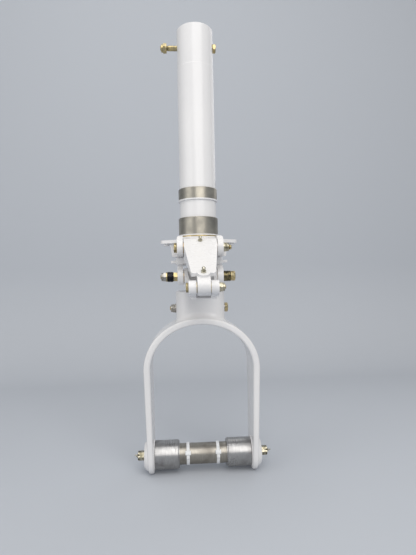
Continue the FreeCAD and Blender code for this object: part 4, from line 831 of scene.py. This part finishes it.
def cable_tie(name, centre_x, axle_spot, axle_r):
    """Strap, ratchet head and toothed tail of one tie."""
    spot = Vector((centre_x, axle_spot.y, axle_spot.z))
    outer = axle_r + TIE_T
    bpy.ops.object.select_all(action="DESELECT")
    bpy.ops.mesh.primitive_cylinder_add(
        vertices=STRAP_SIDES, radius=outer, depth=TIE_W, end_fill_type="NOTHING",
        location=spot, rotation=(0, math.pi / 2, 0),
    )
    strap = bpy.context.object
    bpy.ops.object.transform_apply(location=True, rotation=True, scale=True)
    wall = strap.modifiers.new("strap wall", "SOLIDIFY")
    wall.thickness = TIE_T
    wall.offset = -1
    bpy.ops.object.modifier_apply(modifier=wall.name)
    ease_edges(strap, TIE_EASE / 2)
    half_w = TIE_HEAD_W / 2
    front = spot.y - outer - TIE_HEAD_T
    head = block(
        name + "_head", (centre_x - half_w, front, spot.z - TIE_HEAD_H / 2),
        (centre_x + half_w, spot.y - outer + TIE_T / 2, spot.z + TIE_HEAD_H / 2),
    )
    slot_half = TIE_SLOT_SHARE * half_w
    slot = block(
        name + "_slot",
        (centre_x - slot_half, front + TIE_HEAD_T * TIE_SLOT_FRONT, spot.z - TIE_HEAD_H),
        (centre_x + slot_half, front + TIE_HEAD_T * TIE_SLOT_BACK, spot.z + TIE_HEAD_H),
    )
    machine(head, slot, "DIFFERENCE")
    ease_edges(head, TIE_EASE)
    tail_low = spot.z - TIE_TAIL_DROP - TIE_HEAD_H / 2
    tail_y = front + TIE_HEAD_T * (TIE_SLOT_FRONT + TIE_SLOT_BACK) / 2
    tail = [block(
        name + "_tail", (centre_x - TIE_W / 2, tail_y - TIE_T / 2, tail_low),
        (centre_x + TIE_W / 2, tail_y + TIE_T / 2, spot.z + TIE_HEAD_H / 2),
    )]
    for number in range(int((TIE_TAIL_DROP - TIE_TOOTH) / TIE_TOOTH)):
        tooth_low = tail_low + TIE_TOOTH * (number + 0.5)
        tail.append(block(
            name + "_tooth", (centre_x - TIE_W / 4, tail_y - TIE_TOOTH_RISE * TIE_T, tooth_low),
            (centre_x + TIE_W / 4, tail_y, tooth_low + TIE_TOOTH / 2),
        ))
    ease_edges(tail[0], TIE_EASE / 2)
    for part in [head] + tail:
        tilt(part, TIE_HEAD_LIFT, spot)
    return one_piece(name, strap, head, *tail)


nylon, tree, shader, place = new_finish("natural nylon")
nylon_cloud = mottle(tree, place, NYLON_CLOUDS, detail=2)
tree.links.new(
    ramp(tree, nylon_cloud, WIDE_EDGES, NYLON_WHITE, NYLON_SHADE), shader.inputs["Base Color"]
)
shader.inputs["Roughness"].default_value = NYLON_ROUGHNESS
shader.inputs["Coat Weight"].default_value = NYLON_COAT
relief(tree, shader, nylon_cloud, NYLON_RELIEF)
tie_low, tie_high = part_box("cable_ties")
axle_radius = (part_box("axle_tube")[1][2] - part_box("axle_tube")[0][2]) / 2
for name, centre_x in (
    ("left_cable_tie", tie_low[0] + TIE_HEAD_W / 2),
    ("right_cable_tie", tie_high[0] - TIE_HEAD_W / 2),
):
    tie = cable_tie(name, centre_x, box_middle("axle_tube"), axle_radius)
    fit_piece(tie, "piston", nylon, "nylon", "cable_ties")


# Studio: a pale floor that curves up into a backdrop, large soft lamps, and the
# camera in front of the torque links. The floor rides on the piston, since a
# fork stays on the ground while its strut extends.
FLOOR_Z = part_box("fork")[0][2]
SWEEP_Y = 0.55
SWEEP_R = 0.35
SWEEP_TOP = 3.0
SWEEP_HALF = 6.0
SWEEP_STEPS = 12
FLOOR_FRONT = -6.0
BACKDROP = (0.50, 0.53, 0.58, 1)
BACKDROP_ROUGHNESS = 0.85
SKY_LIGHT = (0.97, 0.95, 0.92, 1)
SKY_STRENGTH = 0.50
SEEN_SKY = (0.43, 0.455, 0.50, 1)
CEILING_TINT = (1.0, 0.99, 0.96)
FRONT_TINT = (1.0, 0.98, 0.95)
SIDE_TINT = (1.0, 0.99, 0.97)
CAMERA_PLACE = (-0.0255, -0.6641, -0.0797)
CAMERA_TURN = (89.943, 1.189, -3.377)
CAMERA_LENS = 27.05
CAMERA_SENSOR = 36.0
CAMERA_NEAR = 0.01

profile = [(FLOOR_FRONT, FLOOR_Z), (SWEEP_Y, FLOOR_Z)]
for step in range(1, SWEEP_STEPS + 1):
    turn = math.radians(90 * step / SWEEP_STEPS)
    profile.append((
        SWEEP_Y + SWEEP_R * math.sin(turn),
        FLOOR_Z + SWEEP_R * (1 - math.cos(turn)),
    ))
profile.append((SWEEP_Y + SWEEP_R, SWEEP_TOP))
sweep_mesh = bpy.data.meshes.new("studio_sweep")
vertices = [(side * SWEEP_HALF, y, z) for y, z in profile for side in (-1, 1)]
faces = [(2 * i, 2 * i + 1, 2 * i + 3, 2 * i + 2) for i in range(len(profile) - 1)]
sweep_mesh.from_pydata(vertices, [], faces)
sweep_mesh.shade_smooth()
sweep = bpy.data.objects.new("studio_sweep", sweep_mesh)
bpy.context.scene.collection.objects.link(sweep)
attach(sweep, "piston")
backdrop, _, shader, _ = new_finish("studio backdrop")
shader.inputs["Base Color"].default_value = BACKDROP
shader.inputs["Roughness"].default_value = BACKDROP_ROUGHNESS
sweep.data.materials.append(backdrop)

world = bpy.data.worlds.new("studio")
bpy.context.scene.world = world
world.use_nodes = True
sky = world.node_tree.nodes["Background"]
sky.inputs["Color"].default_value = SKY_LIGHT
sky.inputs["Strength"].default_value = SKY_STRENGTH
seen_sky = world.node_tree.nodes.new("ShaderNodeBackground")
seen_sky.inputs["Color"].default_value = SEEN_SKY
rays = world.node_tree.nodes.new("ShaderNodeLightPath")
seen = either(
    world.node_tree,
    either(world.node_tree, rays.outputs["Is Camera Ray"], rays.outputs["Is Glossy Ray"]),
    rays.outputs["Is Transmission Ray"],
)
choice = world.node_tree.nodes.new("ShaderNodeMixShader")
world.node_tree.links.new(seen, choice.inputs["Fac"])
world.node_tree.links.new(sky.outputs["Background"], choice.inputs[1])
world.node_tree.links.new(seen_sky.outputs["Background"], choice.inputs[2])
world_end = world.node_tree.nodes["World Output"]
world.node_tree.links.new(choice.outputs["Shader"], world_end.inputs["Surface"])


def soft_lamp(name, place, aim, size, watts, colour):
    """Square soft lamp at a place, turned to aim."""
    lamp = bpy.data.lights.new(name, "AREA")
    lamp.size = size
    lamp.energy = watts
    lamp.color = colour
    holder = bpy.data.objects.new(name, lamp)
    holder.location = place
    heading = Vector(aim) - Vector(place)
    holder.rotation_euler = heading.to_track_quat("-Z", "Y").to_euler()
    holder.visible_camera = False
    bpy.context.scene.collection.objects.link(holder)


soft_lamp(
    "ceiling lamp", place=(-0.3, -0.4, 1.6), aim=(0, 0, 0),
    size=1.2, watts=8, colour=CEILING_TINT,
)
soft_lamp(
    "front lamp", place=(0.35, -1.55, 1.0), aim=(0, 0, -0.12),
    size=1.7, watts=21, colour=FRONT_TINT,
)
soft_lamp(
    "left lamp", place=(-1.5, -1.0, 0.2), aim=(0, 0, -0.05),
    size=1.3, watts=5, colour=SIDE_TINT,
)
soft_lamp(
    "back lamp", place=(0.6, 0.5, 0.7), aim=(0.6, -1.0, 0.7),
    size=1.0, watts=2, colour=SIDE_TINT,
)

lens = bpy.data.cameras.new("front camera")
lens.lens = CAMERA_LENS
lens.sensor_width = CAMERA_SENSOR
lens.clip_start = CAMERA_NEAR
camera = bpy.data.objects.new("front camera", lens)
camera.location = CAMERA_PLACE
camera.rotation_euler = [math.radians(angle) for angle in CAMERA_TURN]
bpy.context.scene.collection.objects.link(camera)
bpy.context.scene.camera = camera
bpy.context.scene.view_settings.view_transform = "Standard"
